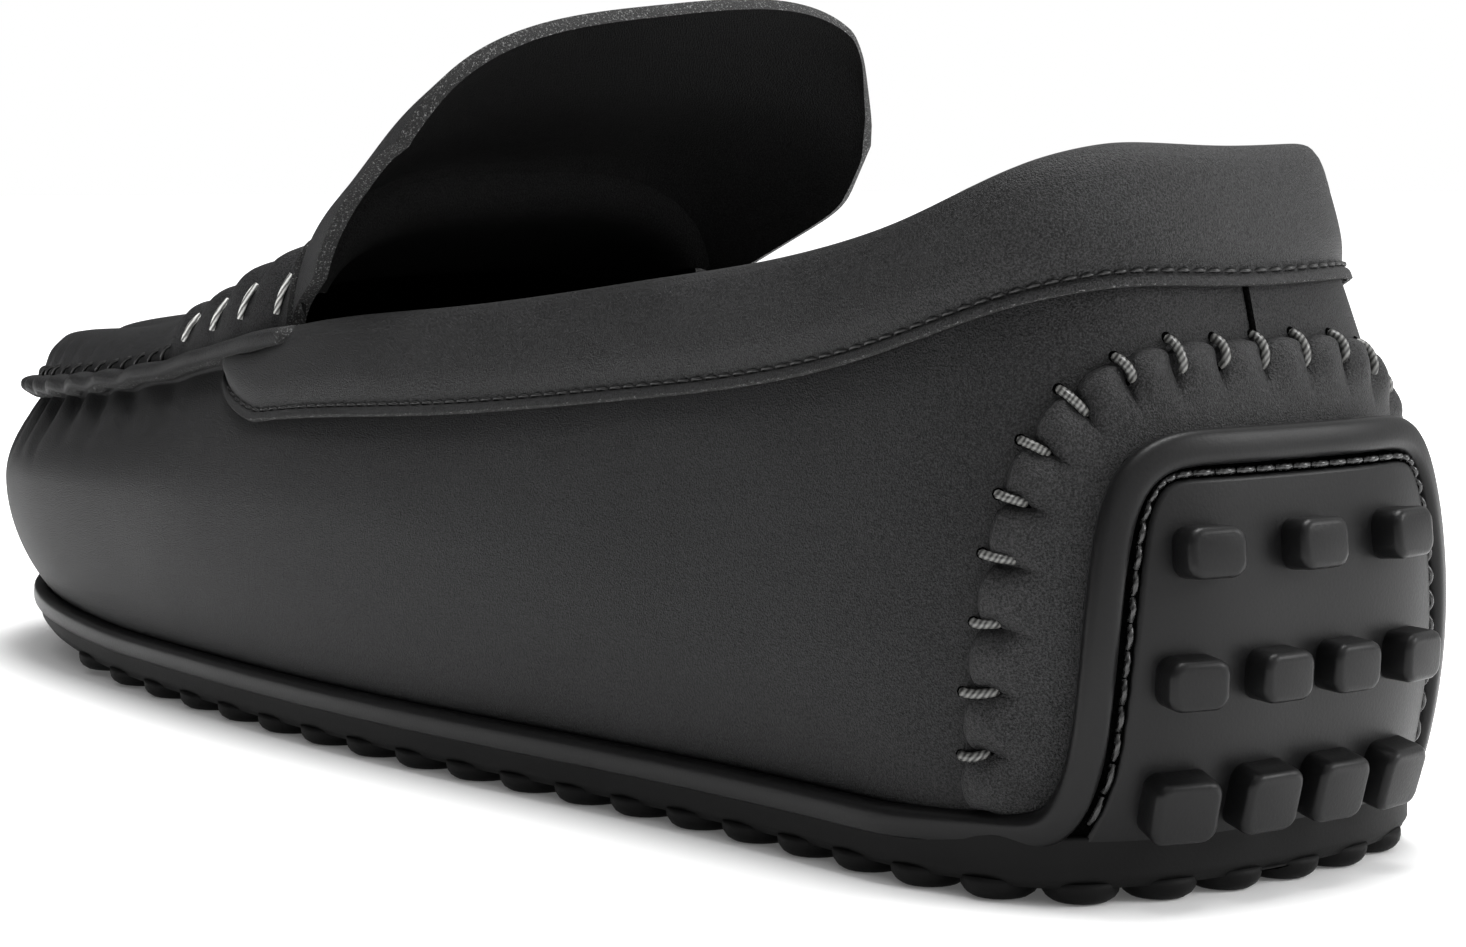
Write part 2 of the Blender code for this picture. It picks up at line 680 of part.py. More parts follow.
def collar_cuff(material):
    """Padded band folded over the wall's edge from throat to throat round the heel."""
    start, end = cuff_ends()
    start -= 1.0
    near_heel = np.arange(-STATIONS // 2, STATIONS // 2) / STATIONS
    u = np.concatenate([[start], near_heel[(near_heel > start) & (near_heel < end)], [end]])
    forward = smooth_step(1.6 * np.abs(u) / end)
    u = u % 1.0
    leg_shares = np.array([1.0, 0.62, 0.30, 0.05])
    drops = (CUFF_HEEL_HEIGHT + (CUFF_HEIGHT - CUFF_HEEL_HEIGHT) * forward)[:, None] * leg_shares
    down = TUB.drop_share(u[:, None], drops)
    outward = flat_outward(u)
    centre = TUB.wall(u, 1.0) - outward * (WALL / 2)
    half = WALL / 2 + GAP + CUFF_THICKNESS
    crest = LIP_THICKNESS + GAP + CUFF_PADDING
    fold = [centre + outward * half * math.cos(angle) + UP * crest * math.sin(angle)
            for angle in np.radians((40, 90, 140))]
    slot = WALL / 2 + 2 * GAP
    slot_top = [centre + outward * slot * side + UP * (LIP_THICKNESS + GAP) for side in (-1, 1)]
    section = np.concatenate([
        TUB.wall(u[:, None], down, GAP + CUFF_THICKNESS),
        np.stack(fold, 1),
        TUB.wall(u[:, None], down[:, ::-1], -WALL - 2 * GAP - CUFF_THICKNESS),
        TUB.wall(u[:, None], down, -WALL - 2 * GAP),
        np.stack(slot_top, 1),
        TUB.wall(u[:, None], down[:, ::-1], 2 * GAP),
    ], 1)
    points, faces = ring_band(section, False)
    return mesh_object("collar_cuff", points, faces, material)


def seam_ends(shares, throat, side):
    """Stations on one side of the seam, at shares of the way from the toe to the throat."""
    stations = np.linspace(station_along(throat, side), 0.5, 401)
    x = TUB.wall(stations, 1.0, SEAM)[:, 0]
    return np.interp(x[-1] - shares * (x[-1] - x[0]), x, stations)


def apron_tongue(material):
    """The plug over the toes, domed inside the raised seam, and the tongue that stands up behind it."""
    rows = table(ARCH_COLUMNS, ARCHES)
    steps = np.linspace(0.0, 1.0, ARCH_COUNT)
    knots = np.linspace(0.0, 1.0, len(ARCHES))
    at = {name: np.interp(steps, knots, rows[name]) for name in ARCH_COLUMNS}
    outer_ends = seam_ends(at["seam"], THROAT_OUTER, 1)
    inner_ends = seam_ends(at["seam"], THROAT_INNER, -1)
    outer_side = TUB.wall(outer_ends, 1.0, SEAM + (at["flare"] - at["skew"]) * BALL_WIDTH)
    inner_side = TUB.wall(inner_ends, 1.0, SEAM + (at["flare"] + at["skew"]) * BALL_WIDTH)
    spread = np.linspace(-1.0, 1.0, ARCH_POINTS + 1)
    share = (1.0 + spread) / 2
    across = share[None, :, None]
    chord = inner_side[:, None] * (1 - across) + outer_side[:, None] * across
    toe = TUB.wall(inner_ends[0] + (outer_ends[0] - inner_ends[0]) * share, 1.0, SEAM)
    front = np.clip(1.0 - at["seam"] / TOE_CURVE, 0.0, 1.0)
    arch = (1.0 - np.abs(spread) ** ARCH_SQUARENESS) ** (1 / ARCH_ROUND)
    grid = chord + front[:, None, None] * (toe - chord[0])[None]
    grid[..., 2] = chord[..., 2] + INSTEP_HEIGHT * (at["rise"][:, None] + at["crown"][:, None] * arch)
    back = at["slide"][:, None] - at["turn"][:, None] * spread + at["back"][:, None] * arch
    grid[..., 0] -= LENGTH * back
    normals = unit(np.cross(np.gradient(grid, axis=0), np.gradient(grid, axis=1)))
    normals *= np.sign(normals[..., 2].mean())
    points, faces = thick_sheet(grid, grid - normals * APRON_THICKNESS)
    return mesh_object("apron_tongue", points, faces, material)


def clear_scene():
    """Remove the objects that the scene starts with."""
    for thing in list(bpy.data.objects):
        bpy.data.objects.remove(thing, do_unlink=True)


clear_scene()
BLACK_LEATHER = (0.022, 0.022, 0.023)
outsole(plain_material("black rubber", (0.028, 0.028, 0.029), 0.55))
upper(plain_material("black leather", BLACK_LEATHER, 0.5))
apron_tongue(plain_material("black apron leather", BLACK_LEATHER, 0.5))
collar_cuff(plain_material("black cuff leather", BLACK_LEATHER, 0.45))
heel_counter(plain_material("black counter leather", BLACK_LEATHER, 0.5))
insole(plain_material("black lining", (0.012, 0.012, 0.012), 0.7))
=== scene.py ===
import math
from collections import namedtuple

import bmesh
import bpy
import numpy as np
from mathutils import Matrix, Quaternion, Vector


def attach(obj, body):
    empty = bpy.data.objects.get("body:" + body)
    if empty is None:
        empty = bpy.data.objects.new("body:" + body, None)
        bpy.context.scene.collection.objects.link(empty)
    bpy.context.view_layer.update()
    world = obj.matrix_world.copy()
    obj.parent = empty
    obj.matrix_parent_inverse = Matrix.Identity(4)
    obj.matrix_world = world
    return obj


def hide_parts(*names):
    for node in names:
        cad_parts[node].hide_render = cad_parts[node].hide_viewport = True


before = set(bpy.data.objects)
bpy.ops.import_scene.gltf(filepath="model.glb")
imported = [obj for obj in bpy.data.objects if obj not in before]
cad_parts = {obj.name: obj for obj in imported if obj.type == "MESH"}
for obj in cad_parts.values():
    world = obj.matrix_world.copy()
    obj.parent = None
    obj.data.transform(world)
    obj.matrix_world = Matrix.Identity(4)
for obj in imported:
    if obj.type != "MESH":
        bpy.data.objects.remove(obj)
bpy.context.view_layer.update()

# The studio: a plain pale floor without an edge in view, which glows as painted light and glows less round the shoe
# as a painted shadow, a white room that is brightest above and behind the heel, and three soft lights: a large one
# above the shoe, one behind the heel and a weak one ahead of the toe.
EYE = Vector((-0.3882, 0.2571, 0.0838))
YAW = math.radians(-36.23)
PITCH = math.radians(-5.62)
ROLL = math.radians(-0.06)
LENS_MM = 74.14

camera_lens = bpy.data.cameras.new("camera")
camera_lens.lens = LENS_MM
camera_lens.sensor_width = 36.0
camera_lens.clip_start = 0.01
camera = bpy.data.objects.new("camera", camera_lens)
aim = Vector((math.cos(YAW) * math.cos(PITCH), math.sin(YAW) * math.cos(PITCH), math.sin(PITCH)))
camera.location = EYE
camera.rotation_mode = "QUATERNION"
camera.rotation_quaternion = aim.to_track_quat("-Z", "Y") @ Quaternion((0.0, 0.0, 1.0), ROLL)
bpy.context.scene.collection.objects.link(camera)
bpy.context.scene.camera = camera
bpy.context.scene.view_settings.view_transform = "Standard"


class Wire:
    """A socket of a node tree; sums, products and the methods below add nodes after it."""

    def __init__(self, socket):
        self.socket = socket
        self.tree = socket.id_data

    def node(self, kind, settings=None, inputs=None, output=0):
        """The output of a new node: its settings first, then the values or links of its sockets."""
        made = self.tree.nodes.new(kind)
        for key, value in (settings or {}).items():
            if key == "stops":
                for stop in list(made.color_ramp.elements)[1:]:
                    made.color_ramp.elements.remove(stop)
                for index, (place, shade) in enumerate(value):
                    stop = made.color_ramp.elements[0] if index == 0 else made.color_ramp.elements.new(place)
                    stop.position = place
                    stop.color = (shade, shade, shade, 1.0)
            else:
                setattr(made, key, value)
        for key, value in (inputs or {}).items():
            if isinstance(value, Wire):
                self.tree.links.new(value.socket, made.inputs[key])
            else:
                made.inputs[key].default_value = value
        return Wire(made.outputs[output])

    def __add__(self, other):
        return self.node("ShaderNodeMath", {"operation": "ADD"}, {0: self, 1: other})

    def __mul__(self, other):
        return self.node("ShaderNodeMath", {"operation": "MULTIPLY"}, {0: self, 1: other})

    def noise(self, scale, detail, roughness=0.5):
        """Cloudy noise between 0 and 1."""
        return self.node("ShaderNodeTexNoise", {}, {"Vector": self, "Scale": scale, "Detail": detail,
                                                    "Roughness": roughness})

    def spread(self, low, high, first, last, how="LINEAR"):
        """The values from low to high carried over to those from first to last."""
        return self.node("ShaderNodeMapRange", {"interpolation_type": how},
                         {"Value": self, "From Min": low, "From Max": high, "To Min": first, "To Max": last})

    def shades(self, colour, dark, light):
        """The colour times dark where this is 0, times light where it is 1."""
        return self.node("ShaderNodeMix", {"data_type": "RGBA"},
                         {"Factor": self, "A": (*[part * dark for part in colour], 1.0),
                          "B": (*[part * light for part in colour], 1.0)}, "Result")

    def dents(self, depth):
        """The normal of a surface whose height this is, in depths."""
        return self.node("ShaderNodeBump", {}, {"Height": self, "Strength": 1.0, "Distance": depth})

    def into(self, node, key):
        """Link this socket to an input of a node."""
        self.tree.links.new(self.socket, node.inputs[key])


def new_material(name):
    """A material, its shader, and its object coordinates."""
    material = bpy.data.materials.new(name)
    material.use_nodes = True
    shader = material.node_tree.nodes["Principled BSDF"]
    coordinates = material.node_tree.nodes.new("ShaderNodeTexCoord")
    return material, shader, Wire(coordinates.outputs["Object"])


FLOOR_HALF = 12.0
PAINTED_SHADOW_LENGTH = 0.19
PAINTED_SHADOW_WIDTH = 0.062

floor_material, floor_shader, floor_place = new_material("pale paper with painted glow and shadow")
floor_shader.inputs["Base Color"].default_value = (0.93, 0.93, 0.93, 1.0)
floor_shader.inputs["Roughness"].default_value = 0.75
# Painted light: the floor glows, and it glows less round the shoe's footprint, a painted shadow under the shoe.
off_centre = floor_place.node("ShaderNodeVectorMath", {"operation": "MULTIPLY"},
                              {0: floor_place, 1: (1 / PAINTED_SHADOW_LENGTH, 1 / PAINTED_SHADOW_WIDTH, 0.0)})
away_from_shoe = off_centre.node("ShaderNodeVectorMath", {"operation": "LENGTH"}, {0: off_centre}, "Value")
away_from_shoe.spread(0.8, 1.5, 0.10, 1.0, "SMOOTHSTEP").into(floor_shader, "Emission Color")
floor_shader.inputs["Emission Strength"].default_value = 0.72
floor_shape = bmesh.new()
bmesh.ops.create_grid(floor_shape, x_segments=4, y_segments=4, size=FLOOR_HALF)
floor_mesh = bpy.data.meshes.new("floor")
floor_shape.to_mesh(floor_mesh)
floor_shape.free()
floor_mesh.materials.append(floor_material)
floor = bpy.data.objects.new("floor", floor_mesh)
bpy.context.scene.collection.objects.link(floor)

BRIGHT_SIDE = (-0.45, -0.48, 0.75)

room = bpy.data.worlds.new("room")
room.use_nodes = True
bpy.context.scene.world = room
room_out = room.node_tree.nodes["World Output"]
room_light = room.node_tree.nodes["Background"]
direction = Wire(room.node_tree.nodes.new("ShaderNodeTexCoord").outputs["Generated"])
away = direction.node("ShaderNodeVectorMath", {"operation": "DOT_PRODUCT"},
                      {0: direction, 1: BRIGHT_SIDE}, "Value")
away.spread(-0.15, 0.95, 0.075, 1.0, "SMOOTHSTEP").into(room_light, "Strength")
seen = away.node("ShaderNodeLightPath")
room_light.inputs["Color"].default_value = (1.0, 1.0, 1.0, 1.0)
plain = room.node_tree.nodes.new("ShaderNodeBackground")
plain.inputs["Color"].default_value = (1.0, 1.0, 1.0, 1.0)
plain.inputs["Strength"].default_value = 1.0
either = room.node_tree.nodes.new("ShaderNodeMixShader")
seen.into(either, 0)
room.node_tree.links.new(room_light.outputs[0], either.inputs[1])
room.node_tree.links.new(plain.outputs[0], either.inputs[2])
room.node_tree.links.new(either.outputs[0], room_out.inputs["Surface"])


def soft_light(name, place, target, size, power):
    """A square soft light that looks at a point."""
    lamp = bpy.data.lights.new(name, "AREA")
    lamp.size = size
    lamp.energy = power
    holder = bpy.data.objects.new(name, lamp)
    holder.location = place
    holder.rotation_mode = "QUATERNION"
    holder.rotation_quaternion = (Vector(target) - Vector(place)).to_track_quat("-Z", "Y")
    bpy.context.scene.collection.objects.link(holder)


soft_light("top light", (-0.05, -0.10, 1.2), (-0.05, 0.0, 0.05), 0.6, 16.0)
soft_light("heel light", (-0.75, -0.55, 0.45), (-0.13, 0.0, 0.05), 0.35, 4.2)
soft_light("toe light", (0.95, 0.25, 0.35), (0.1, 0.0, 0.04), 0.4, 0.12)

# The upper: one piece of black leather drawn up round the foot. Its front edge is turned out and gathered
# into the raised seam, which pulls the leather under it into short pleats round the toe.
LENGTH = 0.300
BALL_WIDTH = 0.104
HEEL_HEIGHT = 0.0875
INSTEP_HEIGHT = 0.112
TOE_SPRING = 0.0065
SLAB_TAPER = 0.0026
SPRING_START = 0.70
SPRING_POWER = 1.7
GAP = 0.0003
WALL = 0.0020
LIP_WIDTH = 0.0036
LIP_THICKNESS = 0.0033
SOLE_TOP = 0.0086
FLAP_FACE = 0.0051
HEEL = -LENGTH / 2 + FLAP_FACE + 0.0026

SECTION_COLUMNS = ("along", "lateral", "medial", "tuck", "belly", "top", "outer_lean", "inner_lean")
SECTIONS = (
    (0.000, -0.025, -0.025, 0.036, 0.36, 0.960, 0.095, 0.095),
    (0.010, 0.180, -0.250, 0.040, 0.36, 0.962, 0.095, 0.115),
    (0.045, 0.290, -0.368, 0.030, 0.36, 0.935, 0.095, 0.145),
    (0.130, 0.355, -0.410, 0.042, 0.37, 0.848, 0.105, 0.140),
    (0.270, 0.395, -0.382, 0.042, 0.38, 0.768, 0.110, 0.125),
    (0.410, 0.450, -0.390, 0.040, 0.39, 0.712, 0.115, 0.115),
    (0.540, 0.485, -0.440, 0.045, 0.39, 0.672, 0.120, 0.120),
    (0.670, 0.500, -0.490, 0.055, 0.38, 0.600, 0.115, 0.115),
    (0.800, 0.495, -0.490, 0.065, 0.37, 0.540, 0.095, 0.095),
    (0.905, 0.425, -0.420, 0.075, 0.35, 0.515, 0.070, 0.070),
    (0.970, 0.260, -0.280, 0.085, 0.35, 0.500, 0.060, 0.060),
    (1.000, -0.010, -0.010, 0.090, 0.35, 0.495, 0.060, 0.060),
)
WIDEST = 0.42
UP = np.array([0.0, 0.0, 1.0])

Frame = namedtuple("Frame", "plan outward tuck lean belly top")


def table(columns, rows):
    """Columns of a table by name."""
    return dict(zip(columns, np.array(rows, dtype=float).T))


def unit(vectors):
    """Vectors of length one."""
    return vectors / np.linalg.norm(vectors, axis=-1, keepdims=True)


def smooth_step(value):
    """0 below 0, 1 above 1, smooth between."""
    value = np.clip(value, 0.0, 1.0)
    return value * value * (3.0 - 2.0 * value)


def bump(value):
    """1 at 0, fading to 0 on both sides like a soft hill one unit wide."""
    return np.exp(-value * value)


def hermite(start, end, start_slope, end_slope, share):
    """Cubic from start to end with the given slopes per unit share."""
    square = share * share
    cube = square * share
    return ((2 * cube - 3 * square + 1) * start + (cube - 2 * square + share) * start_slope
            + (3 * square - 2 * cube) * end + (cube - square) * end_slope)


def spring(x):
    """How far the sole lifts off the floor toward the toe."""
    start = (SPRING_START - 0.5) * LENGTH
    return TOE_SPRING * np.clip((np.asarray(x) - start) / (LENGTH / 2 - start), 0.0, 1.2) ** SPRING_POWER


class Tub:
    """The leather wall's outer face by station u (0 heel, 0.5 toe, outer side first) and height v."""

    def __init__(self):
        rows = table(SECTION_COLUMNS, SECTIONS)
        sizes = (("along", "along", LENGTH / 2 - HEEL), ("lateral", "medial", BALL_WIDTH),
                 ("tuck", "tuck", BALL_WIDTH), ("outer_lean", "inner_lean", BALL_WIDTH),
                 ("belly", "belly", HEEL_HEIGHT), ("top", "top", HEEL_HEIGHT))
        values = [np.concatenate([rows[outer], rows[inner][-2:0:-1]]) * size for outer, inner, size in sizes]
        self.values = np.array(values).T
        self.values[:, 0] += HEEL
        self.count = len(self.values)
        self.chords = np.linalg.norm(np.roll(self.values[:, :2], -1, 0) - self.values[:, :2], axis=1)
        self.slopes = self.spline_slopes()
        self.dense = np.linspace(0.0, 1.0, 2001)
        points = self.rows_at(self.dense)[0][:, :2]
        self.arcs = np.concatenate([[0.0], np.cumsum(np.linalg.norm(np.diff(points, axis=0), axis=1))])

    def spline_slopes(self):
        """Slopes of the closed cubic spline through the rows, knots a chord apart."""
        count = self.count
        matrix = np.zeros((count, count))
        right = np.zeros_like(self.values)
        for row in range(count):
            before = self.chords[row - 1]
            after = self.chords[row]
            matrix[row, row - 1] += 1 / before
            matrix[row, row] += 2 / before + 2 / after
            matrix[row, (row + 1) % count] += 1 / after
            right[row] = 3 * ((self.values[row] - self.values[row - 1]) / before ** 2
                              + (self.values[(row + 1) % count] - self.values[row]) / after ** 2)
        return np.linalg.solve(matrix, right)

    def rows_at(self, u):
        """Table values at stations u, and their rate of change along the outline."""
        place = np.mod(np.asarray(u, dtype=float), 1.0) * self.count
        row = np.minimum(place.astype(int), self.count - 1)
        after = (row + 1) % self.count
        share = (place - row)[..., None]
        chord = self.chords[row][..., None]
        ends = (self.values[row], self.values[after], self.slopes[row] * chord, self.slopes[after] * chord)
        step = 1e-4
        rate = (hermite(*ends, share + step) - hermite(*ends, share - step)) / (2 * step)
        return hermite(*ends, share), rate

    def frame(self, u):
        """Point on the widest line in plan, the outward direction there, and the section's sizes."""
        value, rate = self.rows_at(u)
        outward = unit(np.stack([-rate[..., 1], rate[..., 0]], -1))
        return Frame(value[..., :2], outward, *(value[..., column] for column in range(2, 6)))

    def sole_height(self, u):
        """Height of the leather's lower edge, on top of the sole."""
        at = self.frame(u)
        return SOLE_TOP + spring(at.plan[..., 0] - at.outward[..., 0] * at.tuck)

    def section(self, u, v):
        """Offset from the widest line and height, at height v of the wall at station u."""
        at = self.frame(u)
        foot = self.sole_height(u)
        low = np.clip(v / WIDEST, 0.0, 1.0)
        high = np.clip((v - WIDEST) / (1 - WIDEST), 0.0, 1.0)
        below = at.belly - foot
        above = at.top - at.belly
        offset = np.where(v < WIDEST, hermite(-at.tuck, 0.0, 1.9 * at.tuck, 0.0, low),
                          hermite(0.0, -at.lean, 0.0, -1.1 * at.lean, high))
        height = np.where(v < WIDEST, hermite(foot, at.belly, 0.75 * below, 1.1 * below, low),
                          hermite(at.belly, at.top, 1.25 * above, 0.85 * above, high))
        return offset, height

    def wall(self, u, v, out=0.0):
        """Points a distance out from the wall's outer face."""
        u, v, out = np.broadcast_arrays(np.asarray(u, float), np.asarray(v, float), np.asarray(out, float))
        step = 1e-3
        offset, height = self.section(u, v)
        more, higher = self.section(u, np.minimum(v + step, 1.0))
        less, lower = self.section(u, np.maximum(v - step, 0.0))
        across = unit(np.stack([higher - lower, less - more], -1))
        at = self.frame(u)
        plan = at.plan + at.outward * (offset + out * across[..., 0])[..., None]
        return np.concatenate([plan, (height + out * across[..., 1])[..., None]], -1)

    def beside(self, u, reach, height):
        """Points by their distance outside the sole's edge and their height over the leather's edge."""
        at = self.frame(u)
        plan = at.plan + at.outward * (reach - at.tuck)[..., None]
        return np.concatenate([plan, (self.sole_height(u) + height)[..., None]], -1)

    def flat_outward(self, u):
        """Level outward directions in space."""
        outward = self.frame(u).outward
        return np.concatenate([outward, np.zeros(outward.shape[:-1] + (1,))], -1)

    def arc(self, u):
        """Arc length round the widest line from the middle of the heel."""
        return np.interp(np.mod(u, 1.0), self.dense, self.arcs)

    def station(self, arc):
        """Station at an arc length from the middle of the heel, positive toward the outer side."""
        return np.interp(np.mod(arc, self.arcs[-1]), self.arcs, self.dense)

    def share_by(self, u, wanted, measure):
        """Height v at which a measure of the section, rising with v, reaches the wanted value."""
        samples = np.linspace(0.0, 1.0, 161)
        u, wanted = np.broadcast_arrays(u, wanted)
        stations, back = np.unique(np.round(u.ravel(), 9), return_inverse=True)
        levels = measure(*self.section(stations[:, None], samples[None, :]))
        rows = levels[back]
        above = (rows < wanted.ravel()[:, None]).sum(axis=1)
        low = np.clip(above - 1, 0, len(samples) - 2)
        index = np.arange(len(rows))
        start = rows[index, low]
        share = (wanted.ravel() - start) / np.maximum(rows[index, low + 1] - start, 1e-9)
        return (samples[low] + np.clip(share, -0.5, 1.5) * (samples[1] - samples[0])).reshape(u.shape)

    def height_share(self, u, z):
        """Height v at which the wall at station u reaches the height z."""
        return self.share_by(u, z, lambda offset, height: height)

    def drop_share(self, u, drop):
        """Height v that lies a distance below the top edge, measured down the wall."""
        def run(offset, height):
            steps = np.hypot(np.diff(offset, axis=1), np.diff(height, axis=1))
            return np.concatenate([np.zeros((len(steps), 1)), np.cumsum(steps, axis=1)], axis=1)

        def minus_run(offset, height):
            lengths = run(offset, height)
            return lengths - lengths[:, -1:]
        return self.share_by(u, -np.asarray(drop), minus_run)


TUB = Tub()
THROAT_OUTER = 0.585
THROAT_INNER = 0.515


def station_along(share, side):
    """Station at a share of the tub's length, on the outer (+1) or inner (-1) side."""
    stations = np.linspace(0.0, 0.5, 501)
    x = TUB.frame(stations if side > 0 else 1.0 - stations).plan[:, 0]
    found = np.interp(HEEL + share * (LENGTH / 2 - HEEL), x, stations)
    return found if side > 0 else 1.0 - found


OUTER_THROAT = station_along(THROAT_OUTER, 1)
INNER_THROAT = station_along(THROAT_INNER, -1)
TOE_ARC = TUB.arc(0.5)


def seam_ahead(u):
    """Distance ahead of the throat along the wall, on either side."""
    arc = TUB.arc(u)
    return np.where(np.mod(u, 1.0) < 0.5, arc - TUB.arc(OUTER_THROAT), TUB.arc(INNER_THROAT) - arc)


def skin(columns, rows, place):
    """A bmesh grid whose vertices go where place(u, v) says, joined where its sides meet."""
    shape = bmesh.new()
    bmesh.ops.create_grid(shape, x_segments=columns, y_segments=rows, size=0.5)
    shape.verts.index_update()
    spots = np.array([vert.co[:2] for vert in shape.verts]) + 0.5
    layer = shape.loops.layers.uv.new("shares")
    for face in shape.faces:
        for loop in face.loops:
            loop[layer].uv = spots[loop.vert.index]
    for vert, point in zip(shape.verts, place(spots[:, 0], spots[:, 1])):
        vert.co = point
    bmesh.ops.remove_doubles(shape, verts=shape.verts, dist=2e-6)
    bmesh.ops.recalc_face_normals(shape, faces=shape.faces)
    return shape


def put_on_shoe(name, mesh, materials, node=None):
    """The mesh as a smooth object that rides on the shoe and may stand for a node."""
    for material in materials:
        mesh.materials.append(material)
    mesh.shade_smooth()
    made = bpy.data.objects.new(name, mesh)
    bpy.context.scene.collection.objects.link(made)
    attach(made, "root")
    if node:
        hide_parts(node)
    return made


def finish_piece(name, shape, materials, node=None):
    """The bmesh put on the shoe."""
    mesh = bpy.data.meshes.new(name)
    shape.to_mesh(mesh)
    shape.free()
    return put_on_shoe(name, mesh, materials, node)


GRAIN_SIZE = 0.00021
GRAIN_DEPTH = 0.00020
SPECK_DARK = 0.20
SPECK_LIGHT = 3.1
LEATHER_SHINE = 0.18


def leather(name, colour, roughness, shine=LEATHER_SHINE):
    """Black leather: fine grain, faint mottling, and a soft uneven gloss."""
    material, shader, place = new_material(name)
    fine = place.node("ShaderNodeTexVoronoi", {"feature": "SMOOTH_F1"},
                      {"Vector": place, "Scale": 1.0 / GRAIN_SIZE, "Smoothness": 0.7}, "Distance")
    fuzz = place.noise(0.8 / GRAIN_SIZE, 3.0, 0.7)
    broad = place.noise(28.0, 3.0)
    (fine * 0.5 + fuzz * 0.9 + broad * 0.25).dents(GRAIN_DEPTH).into(shader, "Normal")
    speckle = (fuzz * 0.85 + broad * 0.15).spread(0.40, 0.62, 0.0, 1.0)
    speckle.shades(colour, SPECK_DARK, SPECK_LIGHT).into(shader, "Base Color")
    uneven = fuzz * 0.5 + broad * 0.5
    uneven.spread(0.3, 0.7, roughness - 0.11, roughness + 0.11).into(shader, "Roughness")
    shader.inputs["Specular IOR Level"].default_value = shine
    return material


FIBRE_SIZE = 0.00035


def raw_edge(name, dark, light):
    """Cut leather edge: loose fibres, some of which catch the light."""
    material, shader, place = new_material(name)
    fibres = place.noise(1.0 / FIBRE_SIZE, 5.0, 0.8)
    specks = place.node("ShaderNodeValToRGB", {"stops": ((0.0, dark), (0.55, dark * 1.6), (0.66, light),
                                                         (1.0, light * 1.5))}, {"Fac": fibres})
    specks.into(shader, "Base Color")
    fibres.dents(0.0003).into(shader, "Normal")
    shader.inputs["Roughness"].default_value = 0.8
    return material


UPPER_LEATHER = leather("upper leather", (0.0100, 0.0100, 0.0103), 0.52)

# Pleats under the seam from the toe's tip back along each side: distance from the tip, depth, half width,
# how far down they reach as a share of the wall, and how far they slant back on the way down.
PLEAT_COLUMNS = ("place", "depth", "width", "reach", "slant")
PLEATS = (
    (0.003, 0.00075, 0.0022, 0.45, 0.001),
    (0.011, 0.00085, 0.0021, 0.52, 0.002),
    (0.019, 0.00075, 0.0020, 0.42, 0.002),
    (0.027, 0.00090, 0.0022, 0.55, 0.003),
    (0.035, 0.00080, 0.0021, 0.46, 0.004),
    (0.043, 0.00095, 0.0022, 0.58, -0.001),
    (0.051, 0.00085, 0.0020, 0.50, -0.004),
    (0.058, 0.00095, 0.0021, 0.55, -0.006),
    (0.066, 0.00080, 0.0020, 0.48, -0.008),
    (0.074, 0.00085, 0.0022, 0.52, -0.009),
    (0.083, 0.00065, 0.0024, 0.42, -0.010),
    (0.093, 0.00055, 0.0027, 0.48, -0.012),
    (0.104, 0.00040, 0.0030, 0.38, -0.012),
    (0.118, 0.00030, 0.0034, 0.34, -0.010),
)


def pleating(u, v):
    """How far the pleats, and the slack between them, move the wall out."""
    rows = table(PLEAT_COLUMNS, PLEATS)
    tip = TUB.arc(u) - TOE_ARC
    side = np.where(tip < 0, 1.0, -1.0)
    moved = np.zeros_like(v)
    for index in range(len(PLEATS)):
        place, depth, width, reach, slant = (rows[name][index] for name in PLEAT_COLUMNS)
        fade = np.clip((v - (1.0 - reach)) / reach, 0.0, 1.0) ** 1.3
        for hand, shift in ((1.0, 0.0), (-1.0, 0.0027)):
            centre = place + shift - slant * (1.0 - v) / reach
            away = -tip * hand - centre
            moved -= 1.7 * depth * fade * bump(away / width) * (side == hand)
            moved += 0.55 * depth * fade * bump((np.abs(away) - 1.9 * width) / (1.1 * width)) * (side == hand)
    return moved * (1.0 - 0.35 * smooth_step((v - 0.9) / 0.1))


# Shallow hollows and swells that the hand leaves in soft leather: place along the wall from the heel, side,
# height, half length, half height and depth.
HOLLOWS = (
    (0.060, 1.0, 0.62, 0.030, 0.22, -0.0006),
    (0.105, 1.0, 0.35, 0.035, 0.20, 0.0005),
    (0.150, 1.0, 0.70, 0.030, 0.18, -0.0007),
    (0.205, 1.0, 0.45, 0.030, 0.22, 0.0006),
    (0.235, 1.0, 0.75, 0.018, 0.16, -0.0006),
    (0.070, -1.0, 0.60, 0.030, 0.22, -0.0006),
    (0.130, -1.0, 0.45, 0.040, 0.25, 0.0006),
    (0.190, -1.0, 0.70, 0.030, 0.20, -0.0007),
)


def hand_softness(u, v):
    """How far the hollows and swells move the wall out."""
    arc = TUB.arc(u)
    whole = TUB.arcs[-1]
    moved = np.zeros_like(v)
    for place, side, level, half_length, half_height, depth in HOLLOWS:
        centre = place if side > 0 else whole - place
        moved += depth * bump((arc - centre) / half_length) * bump((v - level) / half_height)
    return moved


# The lip's ripples: share of the whole, length and where along the seam they start.
RIPPLES = ((0.25, 0.0031, 0.0), (0.30, 0.0073, 1.0), (0.22, 0.0017, 2.0))


def lip_wave(u):
    """The seam's edge rises, falls and swells between its stitches."""
    tip = TUB.arc(u) - TOE_ARC
    return sum(share * np.sin(tip / length + start) for share, length, start in RIPPLES)


# Shares of the upper's closed section at which the outer face turns into the lip, the lip ends, the inner
# face starts, and the inner face ends at the foot.
LIP_FROM = 0.48
LIP_TO = 0.62
LINING_FROM = 0.64
LINING_TO = 0.98
LIP_START = -0.0105
TAB_WIDTH = 0.011


